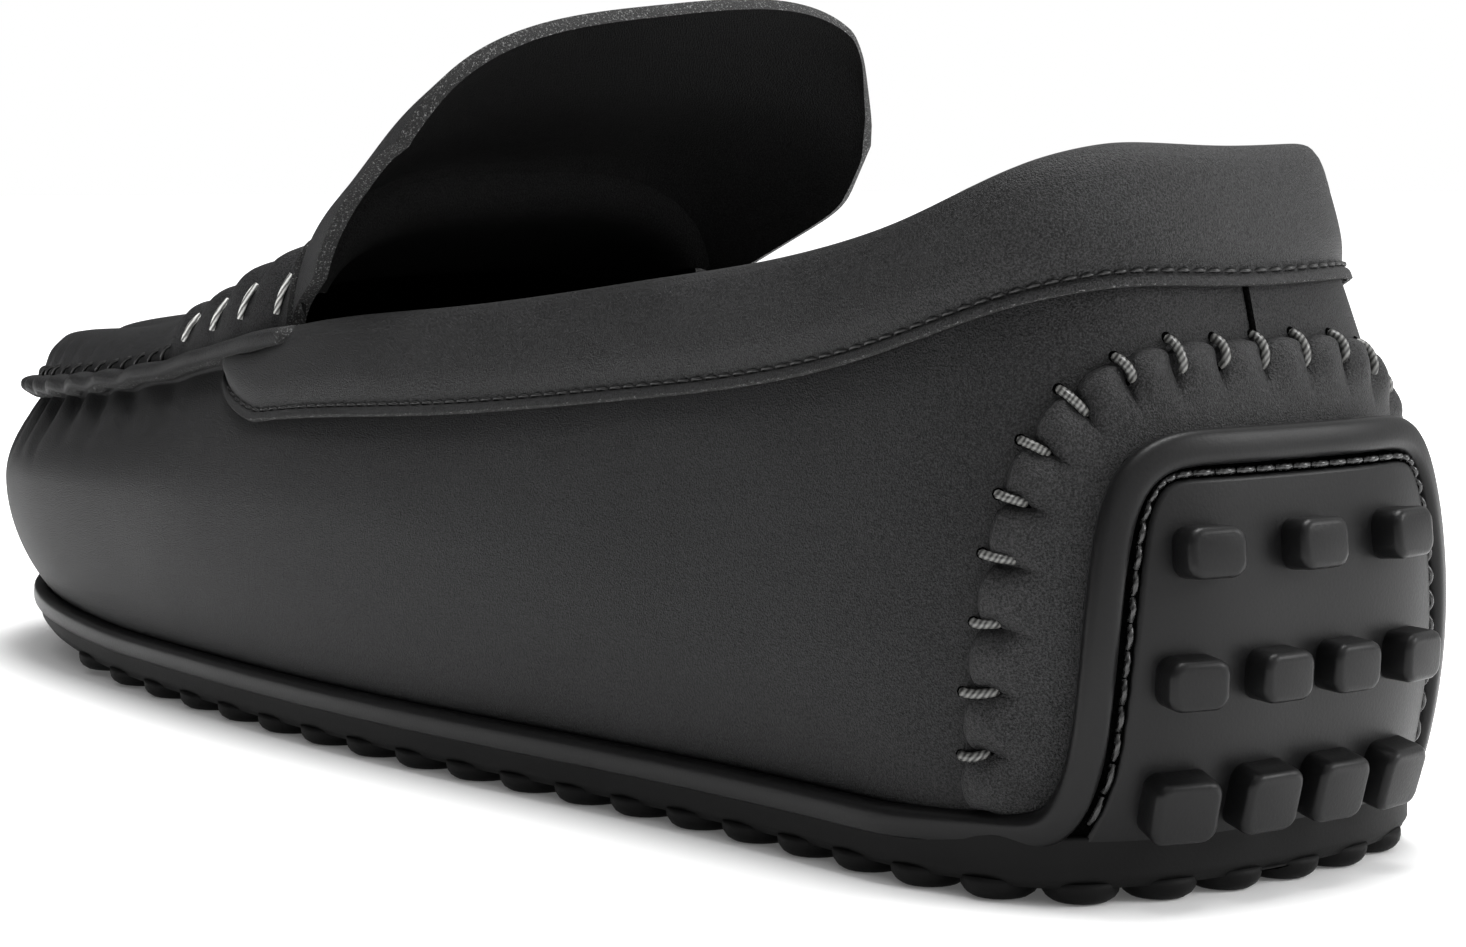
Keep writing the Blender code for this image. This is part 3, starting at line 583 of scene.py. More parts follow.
def upper_place(u, w):
    """The wall's closed section: outer face, turned lip, inner face, foot."""
    face = w < LIP_FROM
    lip = (w >= LIP_FROM) & (w < LIP_TO)
    down = (w - LINING_FROM) / (LINING_TO - LINING_FROM)
    v = np.where(face, w / LIP_FROM, np.where(w < LINING_FROM, 1.0, 1.0 - down))
    v = np.clip(v, 0.0, 1.0)
    soft = (pleating(u, v) + hand_softness(u, v)) * smooth_step(v / 0.12)
    foot = -WALL * (1.0 - (w - LINING_TO) / (1.0 - LINING_TO))
    out = np.where(w < LIP_TO, soft, np.where(w < LINING_TO, soft - WALL, foot))
    points = TUB.wall(u, v, out)
    turn = np.radians(-90.0 + 180.0 * np.clip((w - LIP_FROM) / (LIP_TO - LIP_FROM), 0.0, 1.0))
    ahead = seam_ahead(u)
    front = smooth_step((ahead - LIP_START) / 0.0030)
    tab = bump((ahead - 0.001) / TAB_WIDTH)
    wave = lip_wave(u) * front * (1.0 - 0.6 * tab)
    width = (GAP + (LIP_WIDTH + 0.0011 * tab) * front) * (1.0 + 0.10 * wave)
    thick = LIP_THICKNESS * (0.26 + (0.74 + 0.10 * tab) * front)
    round_out = np.abs(np.cos(turn)) ** 0.75
    rise = thick / 2 * (1.0 + np.sign(np.sin(turn)) * np.abs(np.sin(turn)) ** 0.75)
    shift = TUB.flat_outward(u) * (width * round_out)[:, None] + UP * rise[:, None]
    points = points + np.where(lip[:, None], shift, 0.0)
    top = (w >= LIP_TO) & (w < LINING_FROM)
    points = points + np.where(top[:, None], UP * thick[:, None] * 0.9, 0.0)
    near_top = smooth_step((v - 0.9) / 0.1) * (w < 0.7)
    return points + UP * (wave * near_top * 0.00022)[:, None]


def paint(shape, index, chosen):
    """Gives a material to the faces whose middle, in shares of the grid, is chosen."""
    layer = shape.loops.layers.uv["shares"]
    shape.faces.ensure_lookup_table()
    spots = np.array([[sum(loop[layer].uv[axis] for loop in face.loops) / len(face.loops) for axis in (0, 1)]
                      for face in shape.faces])
    for number in np.nonzero(chosen(spots[:, 0], spots[:, 1]))[0]:
        shape.faces[number].material_index = index


RAW_LEATHER = raw_edge("raw leather edge", 0.006, 0.30)


def lip_cut(u, w):
    """The cut lower edge of the lip and its cut ends at the throat."""
    ahead = seam_ahead(u)
    lower_edge = (w > 0.492) & (w < 0.522) & (ahead > -0.010)
    throat_end = (w > LIP_FROM) & (w < LIP_TO) & (np.abs(ahead + 0.0088) < 0.0018)
    return lower_edge | throat_end


upper_shape = skin(760, 88, upper_place)
paint(upper_shape, 1, lip_cut)
finish_piece("upper_leather", upper_shape, [UPPER_LEATHER, RAW_LEATHER], "upper")

# The apron and tongue: a plug of the same leather sewn inside the raised seam. It is crimped along the seam
# near the toe, held down by four white hand stitches on each side, and ends at the throat in a raw cut edge.
# The tongue, a second thick piece with a raw edge and a dark lining, flares up from under it.
APRON_THICKNESS = 0.0024
ARCH_COLUMNS = ("seam", "slide", "turn", "flare", "skew", "rise", "crown", "back")
ARCHES = (
    (0.003, 0.000, 0.000, 0.000, 0.000, 0.016, 0.000, 0.000),
    (0.014, 0.000, 0.000, 0.000, 0.000, 0.016, 0.060, 0.000),
    (0.045, 0.000, 0.000, 0.000, 0.000, 0.016, 0.090, 0.000),
    (0.130, 0.000, 0.000, 0.000, 0.000, 0.016, 0.098, 0.000),
    (0.320, 0.000, 0.000, 0.000, 0.000, 0.016, 0.100, 0.000),
    (0.550, 0.000, 0.000, 0.000, 0.000, 0.016, 0.100, 0.000),
    (0.780, 0.000, 0.000, 0.000, 0.000, 0.016, 0.126, 0.000),
    (1.000, 0.000, 0.000, 0.000, 0.000, 0.016, 0.204, 0.002),
    (1.000, 0.012, 0.005, -0.004, 0.000, 0.075, 0.208, 0.004),
    (1.000, 0.060, 0.014, 0.038, 0.022, 0.125, 0.198, 0.008),
    (1.000, 0.088, 0.000, 0.048, 0.030, 0.200, 0.192, 0.012),
    (1.000, 0.104, -0.008, 0.042, 0.033, 0.230, 0.205, 0.016),
)
THROAT_ROW = 7.0 / (len(ARCHES) - 1)
TOE_CURVE = 0.35
SEAM = -WALL - 2 * GAP
APRON_LAP = 0.0030

fine_steps = np.linspace(0.0, 1.0, 441)
arch_rows = table(ARCH_COLUMNS, ARCHES)
ARCH_AT = {}
for column in ARCH_COLUMNS:
    line = np.interp(fine_steps, np.linspace(0.0, 1.0, len(ARCHES)), arch_rows[column])
    window = np.hanning(35)
    padded = np.concatenate([2 * line[0] - line[17:0:-1], line, 2 * line[-1] - line[-2:-19:-1]])
    ARCH_AT[column] = np.convolve(padded, window / window.sum(), "valid")


def seam_ends(shares, throat, side):
    """Stations on one side of the seam, at shares of the way from the toe to the throat."""
    stations = np.linspace(throat, 0.5, 801)
    x = TUB.wall(stations, 1.0, SEAM)[:, 0]
    return np.interp(x[-1] - np.clip(shares, 0.0, 1.0) * (x[-1] - x[0]), x, stations)


def arch_place(s, q):
    """Apron and tongue by the share s of the way from toe to tongue tip, and q from the inner side (-1)."""
    at = {name: np.interp(s, fine_steps, ARCH_AT[name]) for name in ARCH_COLUMNS}
    outer = seam_ends(at["seam"], OUTER_THROAT, 1)
    inner = seam_ends(at["seam"], INNER_THROAT, -1)
    seam = SEAM + APRON_LAP * (1.0 - smooth_step((s - 0.585) / 0.06))
    wider = 0.046 * smooth_step((s - 0.68) / 0.16)
    outer_side = TUB.wall(outer, 1.0, seam + (at["flare"] - at["skew"]) * BALL_WIDTH)
    inner_side = TUB.wall(inner, 1.0, seam + (at["flare"] + at["skew"] + wider) * BALL_WIDTH)
    share = (1.0 + q) / 2
    across = share[:, None]
    points = inner_side * (1 - across) + outer_side * across
    first = np.array([ARCH_AT["seam"][0]])
    outer_first = seam_ends(first, OUTER_THROAT, 1)[0]
    inner_first = seam_ends(first, INNER_THROAT, -1)[0]
    toe = TUB.wall(inner_first + (outer_first - inner_first) * share, 1.0, SEAM + APRON_LAP)
    toe_chord = (TUB.wall(inner_first, 1.0, SEAM + APRON_LAP) * (1 - across)
                 + TUB.wall(outer_first, 1.0, SEAM + APRON_LAP) * across)
    front = np.clip(1.0 - at["seam"] / TOE_CURVE, 0.0, 1.0)
    arch = (1.0 - np.abs(q) ** 3.2) ** (1 / 2.2)
    height = points[:, 2] + INSTEP_HEIGHT * (at["rise"] + at["crown"] * arch)
    points = points + front[:, None] * (toe - toe_chord)
    points[:, 2] = height
    points[:, 0] -= LENGTH * (at["slide"] - at["turn"] * q + at["back"] * arch)
    return points


def arch_normals(s, q):
    """Directions out of the apron's upper face."""
    step = 0.004
    along = arch_place(np.clip(s + step, 0, 1), q) - arch_place(np.clip(s - step, 0, 1), q)
    across = arch_place(s, np.clip(q + step, -0.999, 0.999)) - arch_place(s, np.clip(q - step, -0.999, 0.999))
    normals = unit(np.cross(along, across))
    return normals * np.where(normals[:, 2:3] < 0, -1.0, 1.0)


APRON_END = THROAT_ROW + 0.012
WHIP_ROWS = (0.533, 0.566, 0.597, 0.629)


def apron_relief(s, q):
    """Height of the apron's crimped edge, the trough behind it, and the roll that the stitches hold down."""
    edge = (1.0 - np.abs(q)) * 0.040
    toe = 1.0 - smooth_step((s - 0.36) / 0.12)
    start = smooth_step(s / 0.05)
    relief = toe * start * (0.0016 * bump((edge - 0.0056) / 0.0040) - 0.0013 * bump((edge - 0.0120) / 0.0032))
    relief += 0.0011 * (1.0 - smooth_step((s - 0.10) / 0.08)) * bump((s - 0.060) / 0.045)
    relief -= 0.0005 * bump((s - 0.165) / 0.050) * (1.0 - smooth_step((np.abs(q) - 0.45) / 0.40))
    relief += 0.0004 * toe * bump((edge - 0.0022) / 0.0015) * np.sin(s * 260.0)
    roll = smooth_step((s - 0.495) / 0.03) * (1.0 - smooth_step((s - 0.650) / 0.015))
    puff = 1.0
    for row in WHIP_ROWS:
        puff = puff - 0.85 * bump((s - row) / 0.0075)
    relief += roll * 0.0019 * puff * bump((edge - 0.0046) / 0.0034)
    relief -= roll * 0.0009 * bump((edge - 0.0125) / 0.0020)
    relief += 0.0005 * np.sin(s * 17.0 + q * 2.0) * bump((edge - 0.022) / 0.012)
    return relief


def apron_sheet(across, along):
    """The apron's upper face."""
    s = along * APRON_END
    q = (across * 2.0 - 1.0) * 0.9995
    q = np.sign(q) * (1.0 - (1.0 - np.abs(q)) ** 1.35)
    return arch_place(s, q) + arch_normals(s, q) * apron_relief(s, q)[:, None]


TONGUE_START = THROAT_ROW - 0.075


def tongue_sheet(across, along):
    """The tongue's upper face: under the apron at its root, thick and flared at its tip."""
    s = TONGUE_START + along * (1.0 - TONGUE_START)
    q = (across * 2.0 - 1.0) * 0.9995
    q = np.sign(q) * (1.0 - (1.0 - np.abs(q)) ** 1.25)
    q = q * (1.0 - 0.031 * smooth_step((s - 0.80) / 0.08) * (q > 0))
    s = s - 0.025 * smooth_step((np.abs(q) - 0.90) / 0.09) * along
    s = s - 0.050 * smooth_step((-q - 0.82) / 0.17) * along ** 2
    under = 1.0 - smooth_step((s - THROAT_ROW) / 0.05)
    root = 1.0 - 0.06 * under
    return arch_place(s, q * root) - arch_normals(s, q * root) * (under * (APRON_THICKNESS + 0.0004))[:, None]


def thick_piece(name, shape, materials, thickness, node, bevel=0.0003):
    """A sheet given its thickness below, a raw rim and softened corners."""
    piece = finish_piece(name, shape, materials, node)
    wall = piece.modifiers.new("thickness", "SOLIDIFY")
    wall.thickness = thickness
    wall.offset = -1.0
    wall.use_rim = True
    wall.material_offset_rim = 1
    wall.material_offset = 2
    corners = piece.modifiers.new("corners", "BEVEL")
    corners.width = bevel
    corners.segments = 2
    corners.limit_method = "ANGLE"
    corners.angle_limit = math.radians(50)
    return piece


def face_up(shape):
    """Turns the sheet so that its faces look up."""
    shape.normal_update()
    if sum(face.normal.z * face.calc_area() for face in shape.faces) < 0:
        bmesh.ops.reverse_faces(shape, faces=shape.faces)
    return shape


APRON_LEATHER = leather("apron leather", (0.011, 0.011, 0.0115), 0.55)
LINING = leather("lining", (0.0035, 0.0035, 0.0035), 0.80, 0.1)
thick_piece("apron", face_up(skin(150, 190, apron_sheet)), [APRON_LEATHER, RAW_LEATHER, LINING],
            APRON_THICKNESS, "apron_tongue")
thick_piece("tongue", face_up(skin(120, 130, tongue_sheet)), [APRON_LEATHER, RAW_LEATHER, LINING],
            APRON_THICKNESS - 0.0002, "apron_tongue")

# The collar cuff: a padded leather band folded over the upper's top edge from throat to throat, its ends
# tucked under the seam's lip. Black stitches hold its lower edge, below which the raw edge of the leather
# stands out as a thin flange.
CUFF_THICKNESS = 0.0017
CUFF_HEIGHT = 0.0142
CUFF_HEEL_HEIGHT = 0.0138
CUFF_CREST = 0.0043
WALL_CREST = 0.0019
CUFF_FLANGE = 0.0019
CUFF_TIP = 0.0132
CUFF_CORNER = 0.0220
CUFF_FRONT = TUB.arc(OUTER_THROAT) + CUFF_TIP
CUFF_REAR = TUB.arc(INNER_THROAT) - TUB.arcs[-1] - CUFF_TIP


def cuff_drop(arc):
    """How far the cuff's lower edge lies below the upper's top edge: less toward its rounded ends."""
    forward = smooth_step(1.6 * np.abs(arc) / CUFF_FRONT)
    full = CUFF_HEEL_HEIGHT + (CUFF_HEIGHT - CUFF_HEEL_HEIGHT) * forward
    end = np.clip(np.minimum(arc - CUFF_REAR, CUFF_FRONT - arc) / CUFF_CORNER, 0.0, 1.0)
    return full * (1.0 - (1.0 - end) ** 1.4) ** (1 / 1.4)


def cuff_swell(share, arc):
    """Distance of the cuff's outer face from the wall: padded, pulled in at the stitches, a flange below."""
    flange = CUFF_FLANGE / CUFF_HEIGHT
    up = np.clip((1.0 - share - flange) / (1.0 - flange), 0.0, 1.0)
    softness = 0.00030 * np.sin(arc * 80.0) + 0.00018 * np.sin(arc * 190.0 + share * 3.0)
    fullness = 0.0027 * (1.0 - 0.7 * bump((arc + 0.045) / 0.030))
    padded = 0.0006 + fullness * (1.0 - (1.0 - np.clip(up / 0.55, 0.0, 1.0)) ** 2.3) + softness * up
    edge = 0.0014 - 0.0008 * bump((share - 1.0 + flange) / 0.04)
    return np.where(share > 1.0 - flange, edge, padded)


# The runs of the cuff's closed section in their order, and the shares of the section where they start and end.
OUTER_FACE, OVER_EDGE, INNER_FACE, INNER_BACK, OVER_WALL, OUTER_BACK, FLANGE_EDGE = range(7)
CUFF_RUNS = np.array((0.0, 0.36, 0.52, 0.68, 0.80, 0.86, 0.97, 1.0))


def cuff_ring(along, w):
    """The cuff's closed section: outer face up, over the edge, down inside, and back along the wall."""
    arc = CUFF_REAR + along * (CUFF_FRONT - CUFF_REAR)
    u = TUB.station(arc)
    end = np.minimum(arc - CUFF_REAR, CUFF_FRONT - arc)
    close = np.sqrt(smooth_step(end / 0.004 + 0.04))
    flat = smooth_step((CUFF_TIP - end + 0.004) / 0.004)
    part = np.clip(np.searchsorted(CUFF_RUNS, w, side="right") - 1, OUTER_FACE, FLANGE_EDGE)
    step = (w - CUFF_RUNS[part]) / np.diff(CUFF_RUNS)[part]
    along_wall = [part == run for run in (OUTER_FACE, INNER_FACE, INNER_BACK, OUTER_BACK, FLANGE_EDGE)]
    share = np.select(along_wall, [1.0 - step ** 1.35, step, 1.0 - step, step, np.ones_like(step)], 0.0)
    face = 2 * GAP + (cuff_swell(share, arc) - 2 * GAP) * close
    inner = -WALL - 2 * GAP - CUFF_THICKNESS * close
    back = 1.4 * GAP
    out = np.select(along_wall, [face, inner, np.full_like(w, -WALL - GAP), np.full_like(w, back),
                                 back + (face - back) * step], 0.0)
    v = TUB.drop_share(u, cuff_drop(arc) * share)
    points = TUB.wall(u, v, out)
    edge = part == OVER_EDGE
    turn = np.pi * np.where(edge, step, 1.0 - step)
    outside = np.where(edge, 2 * GAP + (cuff_swell(0.0 * w, arc) - 2 * GAP) * close, back)
    inside = np.where(edge, inner, -WALL - GAP)
    crest = np.where(edge, CUFF_CREST, WALL_CREST)
    middle = (outside + inside) / 2 + (outside - inside) / 2 * np.cos(turn)
    arch = TUB.wall(u, 1.0, 0.0) + TUB.flat_outward(u) * middle[:, None] + UP * (crest * np.sin(turn))[:, None]
    points = np.where((edge | (part == OVER_WALL))[:, None], arch, points)
    laid = TUB.wall(u, v, np.where((part == OUTER_FACE) | (part == FLANGE_EDGE), out, back))
    return points * (1.0 - flat)[:, None] + laid * flat[:, None]


def cuff_place(along, w):
    """The section with its turns over the edge softened."""
    soft = 0.030 * smooth_step((w - 0.12) / 0.10) * (1.0 - smooth_step((w - 0.60) / 0.05))
    return sum(cuff_ring(along, w + soft * step) * (3 - abs(step)) for step in (-2, -1, 0, 1, 2)) / 9


CUFF_LEATHER = leather("cuff leather", (0.0115, 0.0115, 0.0118), 0.44, 0.20)
cuff_shape = skin(620, 84, cuff_place)
bmesh.ops.holes_fill(cuff_shape, edges=[edge for edge in cuff_shape.edges if edge.is_boundary], sides=0)
paint(cuff_shape, 1, lambda u, w: (w > 0.962) | (w < 0.014))
finish_piece("collar_cuff_leather", cuff_shape, [CUFF_LEATHER, RAW_LEATHER], "collar_cuff")


def thread(name, paths, radius, material):
    """Stitches, each a short rounded length of thread through its own points, as one piece."""
    curve = bpy.data.curves.new(name, "CURVE")
    curve.dimensions = "3D"
    curve.bevel_depth = radius
    curve.bevel_resolution = 2
    curve.resolution_u = 4
    curve.use_fill_caps = True
    for path in paths:
        spline = curve.splines.new("BEZIER")
        spline.bezier_points.add(len(path) - 1)
        for knot, point in zip(spline.bezier_points, path):
            knot.co = point
            knot.handle_left_type = "AUTO"
            knot.handle_right_type = "AUTO"
    drawn = bpy.data.objects.new(name, curve)
    bpy.context.scene.collection.objects.link(drawn)
    mesh = bpy.data.meshes.new_from_object(drawn.evaluated_get(bpy.context.evaluated_depsgraph_get()))
    bpy.data.objects.remove(drawn)
    mesh.name = name
    mesh.materials.clear()
    put_on_shoe(name, mesh, [material])


def thread_material(name, colour, roughness):
    """Twisted waxed thread."""
    material, shader, place = new_material(name)
    twist = place.node("ShaderNodeTexWave", {"wave_type": "BANDS", "bands_direction": "DIAGONAL"},
                       {"Vector": place, "Scale": 620.0, "Distortion": 2.0})
    twist.shades(colour, 0.12, 1.5).into(shader, "Base Color")
    shader.inputs["Roughness"].default_value = roughness
    return material


BLACK_THREAD = thread_material("black thread", (0.010, 0.010, 0.010), 0.45)
STITCH_LENGTH = 0.0026
cuff_stitches = []
for start in np.arange(CUFF_REAR + 0.006, CUFF_FRONT - 0.006, STITCH_LENGTH):
    arc = start + STITCH_LENGTH * np.array([0.10, 0.35, 0.65, 0.90])
    stations = TUB.station(arc)
    v = TUB.drop_share(stations, cuff_drop(arc) * (1.0 - CUFF_FLANGE / CUFF_HEIGHT))
    cuff_stitches.append(TUB.wall(stations, v, np.array([0.0004, 0.0009, 0.0009, 0.0004])))
thread("cuff_stitches", cuff_stitches, 0.00028, BLACK_THREAD)

# Hand stitches of the apron: four white ones on each side hold its roll to the lip, black ones run on to
# the toe along the seam.
WHITE_THREAD = thread_material("white thread", (0.62, 0.62, 0.60), 0.50)


def edge_stitches(rows, across, along, lifts):
    """Stitches on both sides of the apron: each row's place plus the points of one stitch, from the seam in."""
    stitches = []
    for side in (1.0, -1.0):
        for row in rows:
            s = row + along
            q = side * across
            rise = lifts + apron_relief(s, q)
            stitches.append(arch_place(s, q) + arch_normals(s, q) * rise[:, None])
    return stitches


steps = np.linspace(0.0, 1.0, 7)
white_stitches = edge_stitches(WHIP_ROWS, np.linspace(0.985, 0.925, 7), np.linspace(-0.002, 0.003, 7),
                               0.0002 + 0.0004 * np.sin(np.pi * steps))
thread("white_stitches", white_stitches, 0.00050, WHITE_THREAD)
seam_stitches = edge_stitches(np.arange(0.20, 0.52, 0.0165), np.array([0.9985, 0.995, 0.989, 0.984]),
                              np.array([-0.003, -0.001, 0.001, 0.003]),
                              np.array([0.0003, 0.0006, 0.0004, -0.0002]))
thread("seam_stitches", seam_stitches, 0.00034, BLACK_THREAD)

# The sock: a flat sole of thin black leather that lies on the rubber inside the shoe.
SOCK_THICKNESS = 0.0028


def sock_place(u, w):
    """A thin pad: rim round the outline, then in to the middle line above and below."""
    side = np.where(w < 0.4, 1.0 - w / 0.4, np.where(w > 0.6, (w - 0.6) / 0.4, 0.0))
    reach = -WALL - GAP - 0.0003 + 0.0005 * (w >= 0.5)
    level = 0.0001 + SOCK_THICKNESS * (w >= 0.5)
    edge = TUB.beside(u, reach, level)
    other = TUB.beside(1.0 - u, reach, level)
    middle = (edge + other) / 2
    return edge * (1 - side)[:, None] + middle * side[:, None]


finish_piece("sock", skin(240, 20, sock_place), [LINING], "insole")

# The heel counter: a curved piece of leather laid on the upper round the heel and whipped down with grey
# waxed thread, so that its edge puffs out between the stitches.
COUNTER_THICKNESS = 0.0015
COUNTER_HALF_ARC = 0.041
COUNTER_HEIGHT = 0.064
COUNTER_FOOT = SOLE_TOP + 0.0019
COUNTER_OUTLINE = ((0.00, 1.00), (0.12, 0.99), (0.30, 0.965), (0.50, 0.93), (0.68, 0.89), (0.80, 0.83),
                   (0.88, 0.75), (0.94, 0.64), (0.98, 0.50), (1.00, 0.36), (1.00, 0.18), (1.00, 0.0))
WHIPS = 22


def evenly(path, count, axes=2):
    """The rows of a table at even distances along the path that its first columns give."""
    runs = np.concatenate([[0.0], np.cumsum(np.linalg.norm(np.diff(path[:, :axes], axis=0), axis=1))])
    even = np.linspace(0.0, runs[-1], count)
    return np.stack([np.interp(even, runs, column) for column in path.T], -1)


def outline_loop(outline, half_arc, foot, top):
    """The patch's edge from one foot over the top to the other: arc and height at even distances."""
    rows = np.array(outline)
    half = np.stack([rows[:, 1] * half_arc, foot + rows[:, 0] * (top - foot)], -1)
    loop = np.concatenate([half, half[-2::-1] * (-1.0, 1.0)])
    for _ in range(3):
        loop = evenly(loop, 1201)
        window = np.hanning(61)
        ends = 2 * loop[0] - loop[30:0:-1], 2 * loop[-1] - loop[-2:-32:-1]
        padded = np.concatenate([ends[0], loop, ends[1]])
        loop = np.stack([np.convolve(padded[:, axis], window / window.sum(), "valid") for axis in (0, 1)], -1)
    return loop


COUNTER_LOOP = outline_loop(COUNTER_OUTLINE, COUNTER_HALF_ARC, COUNTER_FOOT, COUNTER_HEIGHT)


def along_loop(loop, share, inset):
    """Arc and height at a share of the way along a loop, a distance inside it."""
    even = np.linspace(0.0, 1.0, len(loop))
    tangent = unit(np.gradient(loop, axis=0))
    inward = np.stack([-tangent[:, 1], tangent[:, 0]], -1)
    at = np.stack([np.interp(share, even, loop[:, axis]) for axis in (0, 1)], -1)
    turn = np.stack([np.interp(share, even, inward[:, axis]) for axis in (0, 1)], -1)
    return at + unit(turn) * np.asarray(inset)[..., None]


def on_heel(flat, out):
    """Points on the heel from arc and height, a distance out from the wall."""
    stations = TUB.station(flat[..., 0])
    return TUB.wall(stations, TUB.height_share(stations, flat[..., 1]), out)


def whip_phase(share):
    """How far a place on the counter's edge is from the nearest whip stitch, 0 to 1."""
    return np.abs(np.sin(np.pi * share * WHIPS))


def counter_place(along, w):
    """From the upper's face over the puffed edge and in to a line up the middle of the heel."""
    edge = np.clip(w / 0.16, 0.0, 1.0)
    inner = np.clip((w - 0.16) / 0.34, 0.0, 1.0)
    middle = np.clip((w - 0.50) / 0.50, 0.0, 1.0)
    puff = whip_phase(along) ** 0.6
    scallop = 0.0014 * (puff - 0.5)
    inset = -scallop * (1.0 - inner) + 0.0009 * edge ** 1.5 + 0.0095 * inner
    flat = along_loop(COUNTER_LOOP, along, inset)
    spine = np.stack([np.zeros_like(w), np.clip(flat[:, 1], COUNTER_FOOT, COUNTER_HEIGHT - 0.012)], -1)
    flat = flat * (1.0 - middle)[:, None] + spine * middle[:, None]
    rise = COUNTER_THICKNESS * np.sin(edge * np.pi / 2) ** 0.8
    swell = bump((inset - 0.0024) / 0.0026) * 0.0015 * (puff - 0.35) * (1.0 - middle)
    pinch = -0.0011 * (1.0 - puff) * bump((inset - 0.0018) / 0.0022)
    out = 0.0001 + rise + swell + pinch
    return on_heel(flat, out)


COUNTER_LEATHER = leather("counter leather", (0.0125, 0.0125, 0.0128), 0.46, 0.20)
finish_piece("heel_counter_leather", skin(660, 44, counter_place), [COUNTER_LEATHER], "heel_counter")

GREY_THREAD = thread_material("grey waxed thread", (0.115, 0.115, 0.11), 0.34)
whips = []
for index in range(1, WHIPS):
    share = (index + 0.10 * math.sin(index * 5.1)) / WHIPS
    tilt = 0.9 + 0.9 * math.sin(index * 7.3)
    reach = 1.0 + 0.16 * math.sin(index * 3.7)
    stitch = []
    for inset, lift in ((-0.0012, -0.0004), (-0.0008, 0.0005), (0.0002, 0.0013), (0.0013, 0.0015),
                        (0.0022, 0.0011), (0.0027, 0.0002)):
        flat = along_loop(COUNTER_LOOP, np.array([share + inset * tilt]), np.array([inset * reach]))
        stitch.append(on_heel(flat, lift + 0.0002)[0])
    whips.append(stitch)
thread("whip_stitches", whips, 0.00056, GREY_THREAD)

# Painted shade: near-black balls sunk where each whip stitch enters the leather stand in for the shade inside the
# stitch holes.
hole_shade = bmesh.new()
for stitch in whips:
    for point, inward in ((stitch[0], stitch[1]), (stitch[-1], stitch[-2])):
        spot = Vector(point) * 1.15 - Vector(inward) * 0.15
        bmesh.ops.create_icosphere(hole_shade, subdivisions=2, radius=0.00075, matrix=Matrix.Translation(spot))
# Near-black leather: the back seam's thread, and painted shade in the stitch holes and in the heel panel's groove.
BLACK_AND_PAINTED_SHADE = leather("deep black and painted shade", (0.001, 0.001, 0.001), 0.9, 0.0)
finish_piece("whip_hole_shade", hole_shade, [BLACK_AND_PAINTED_SHADE])

back_levels = np.linspace(COUNTER_HEIGHT + 0.0006, TUB.frame(0.0).top - CUFF_HEEL_HEIGHT + 0.003, 12)
back_seam = on_heel(np.stack([np.full(12, 0.0), back_levels], -1), 0.0)
thread("back_seam", [back_seam], 0.00045, BLACK_AND_PAINTED_SHADE)

# The outsole: one piece of black moulded rubber. A rounded rim runs round its edge and climbs over the back
# of the heel, where it frames a stitched panel with rows of blocks; pebble-like nubs cover its underside.
NUB_HEIGHT = 0.0021
RIM_OVERHANG = 0.0032
SLAB_INSET = 0.0013
FLAP_BACK = 0.0021
FLAP_HEIGHT = 0.0545
FLAP_HALF_ARC = 0.0290
FLAP_SHIFT = 0.0010
FLAP_OUTLINE = ((0.00, 1.30), (0.10, 1.12), (0.22, 1.03), (0.45, 1.00), (0.68, 0.97), (0.84, 0.93),
                (0.92, 0.87), (0.97, 0.80), (1.00, 0.68), (1.00, 0.40), (1.00, 0.0))


def rubber(name, colour, roughness, shine):
    """Moulded rubber: satin, with faint flow marks and dust."""
    material, shader, place = new_material(name)
    fine = place.noise(2600.0, 3.0)
    broad = place.noise(45.0, 3.0)
    (fine * 0.6 + broad * 0.4).dents(0.00004).into(shader, "Normal")
    (fine * 0.5 + broad * 0.4).shades(colour, 0.4, 1.7).into(shader, "Base Color")
    uneven = fine * 0.5 + broad * 0.5
    uneven.spread(0.3, 0.7, roughness - 0.06, roughness + 0.06).into(shader, "Roughness")
    shader.inputs["Specular IOR Level"].default_value = shine
    return material


RUBBER = rubber("black rubber", (0.0060, 0.0060, 0.0062), 0.40, 0.19)
# Painted shade: a darker copy of the same rubber for the sole's underside and its nubs, which lie in shade.
PAINTED_SHADE_RUBBER = rubber("rubber with painted shade", (0.003, 0.003, 0.003), 0.60, 0.14)


def rim_reach(u):
    """Distance from the leather's edge to the sole's outer face: wider round the heel, under the panel."""
    turn = np.mod(u + 0.5, 1.0) - 0.5
    arc = TUB.arc(np.abs(turn))
    heel = 1.0 - smooth_step((arc - FLAP_HALF_ARC) / (FLAP_HALF_ARC / 2))
    return RIM_OVERHANG + heel * (FLAP_FACE + 2 * GAP - RIM_OVERHANG)


def slab_lift(x):
    """How far the slab's underside lifts toward the toe."""
    return spring(x) * (1.0 + SLAB_TAPER / TOE_SPRING)


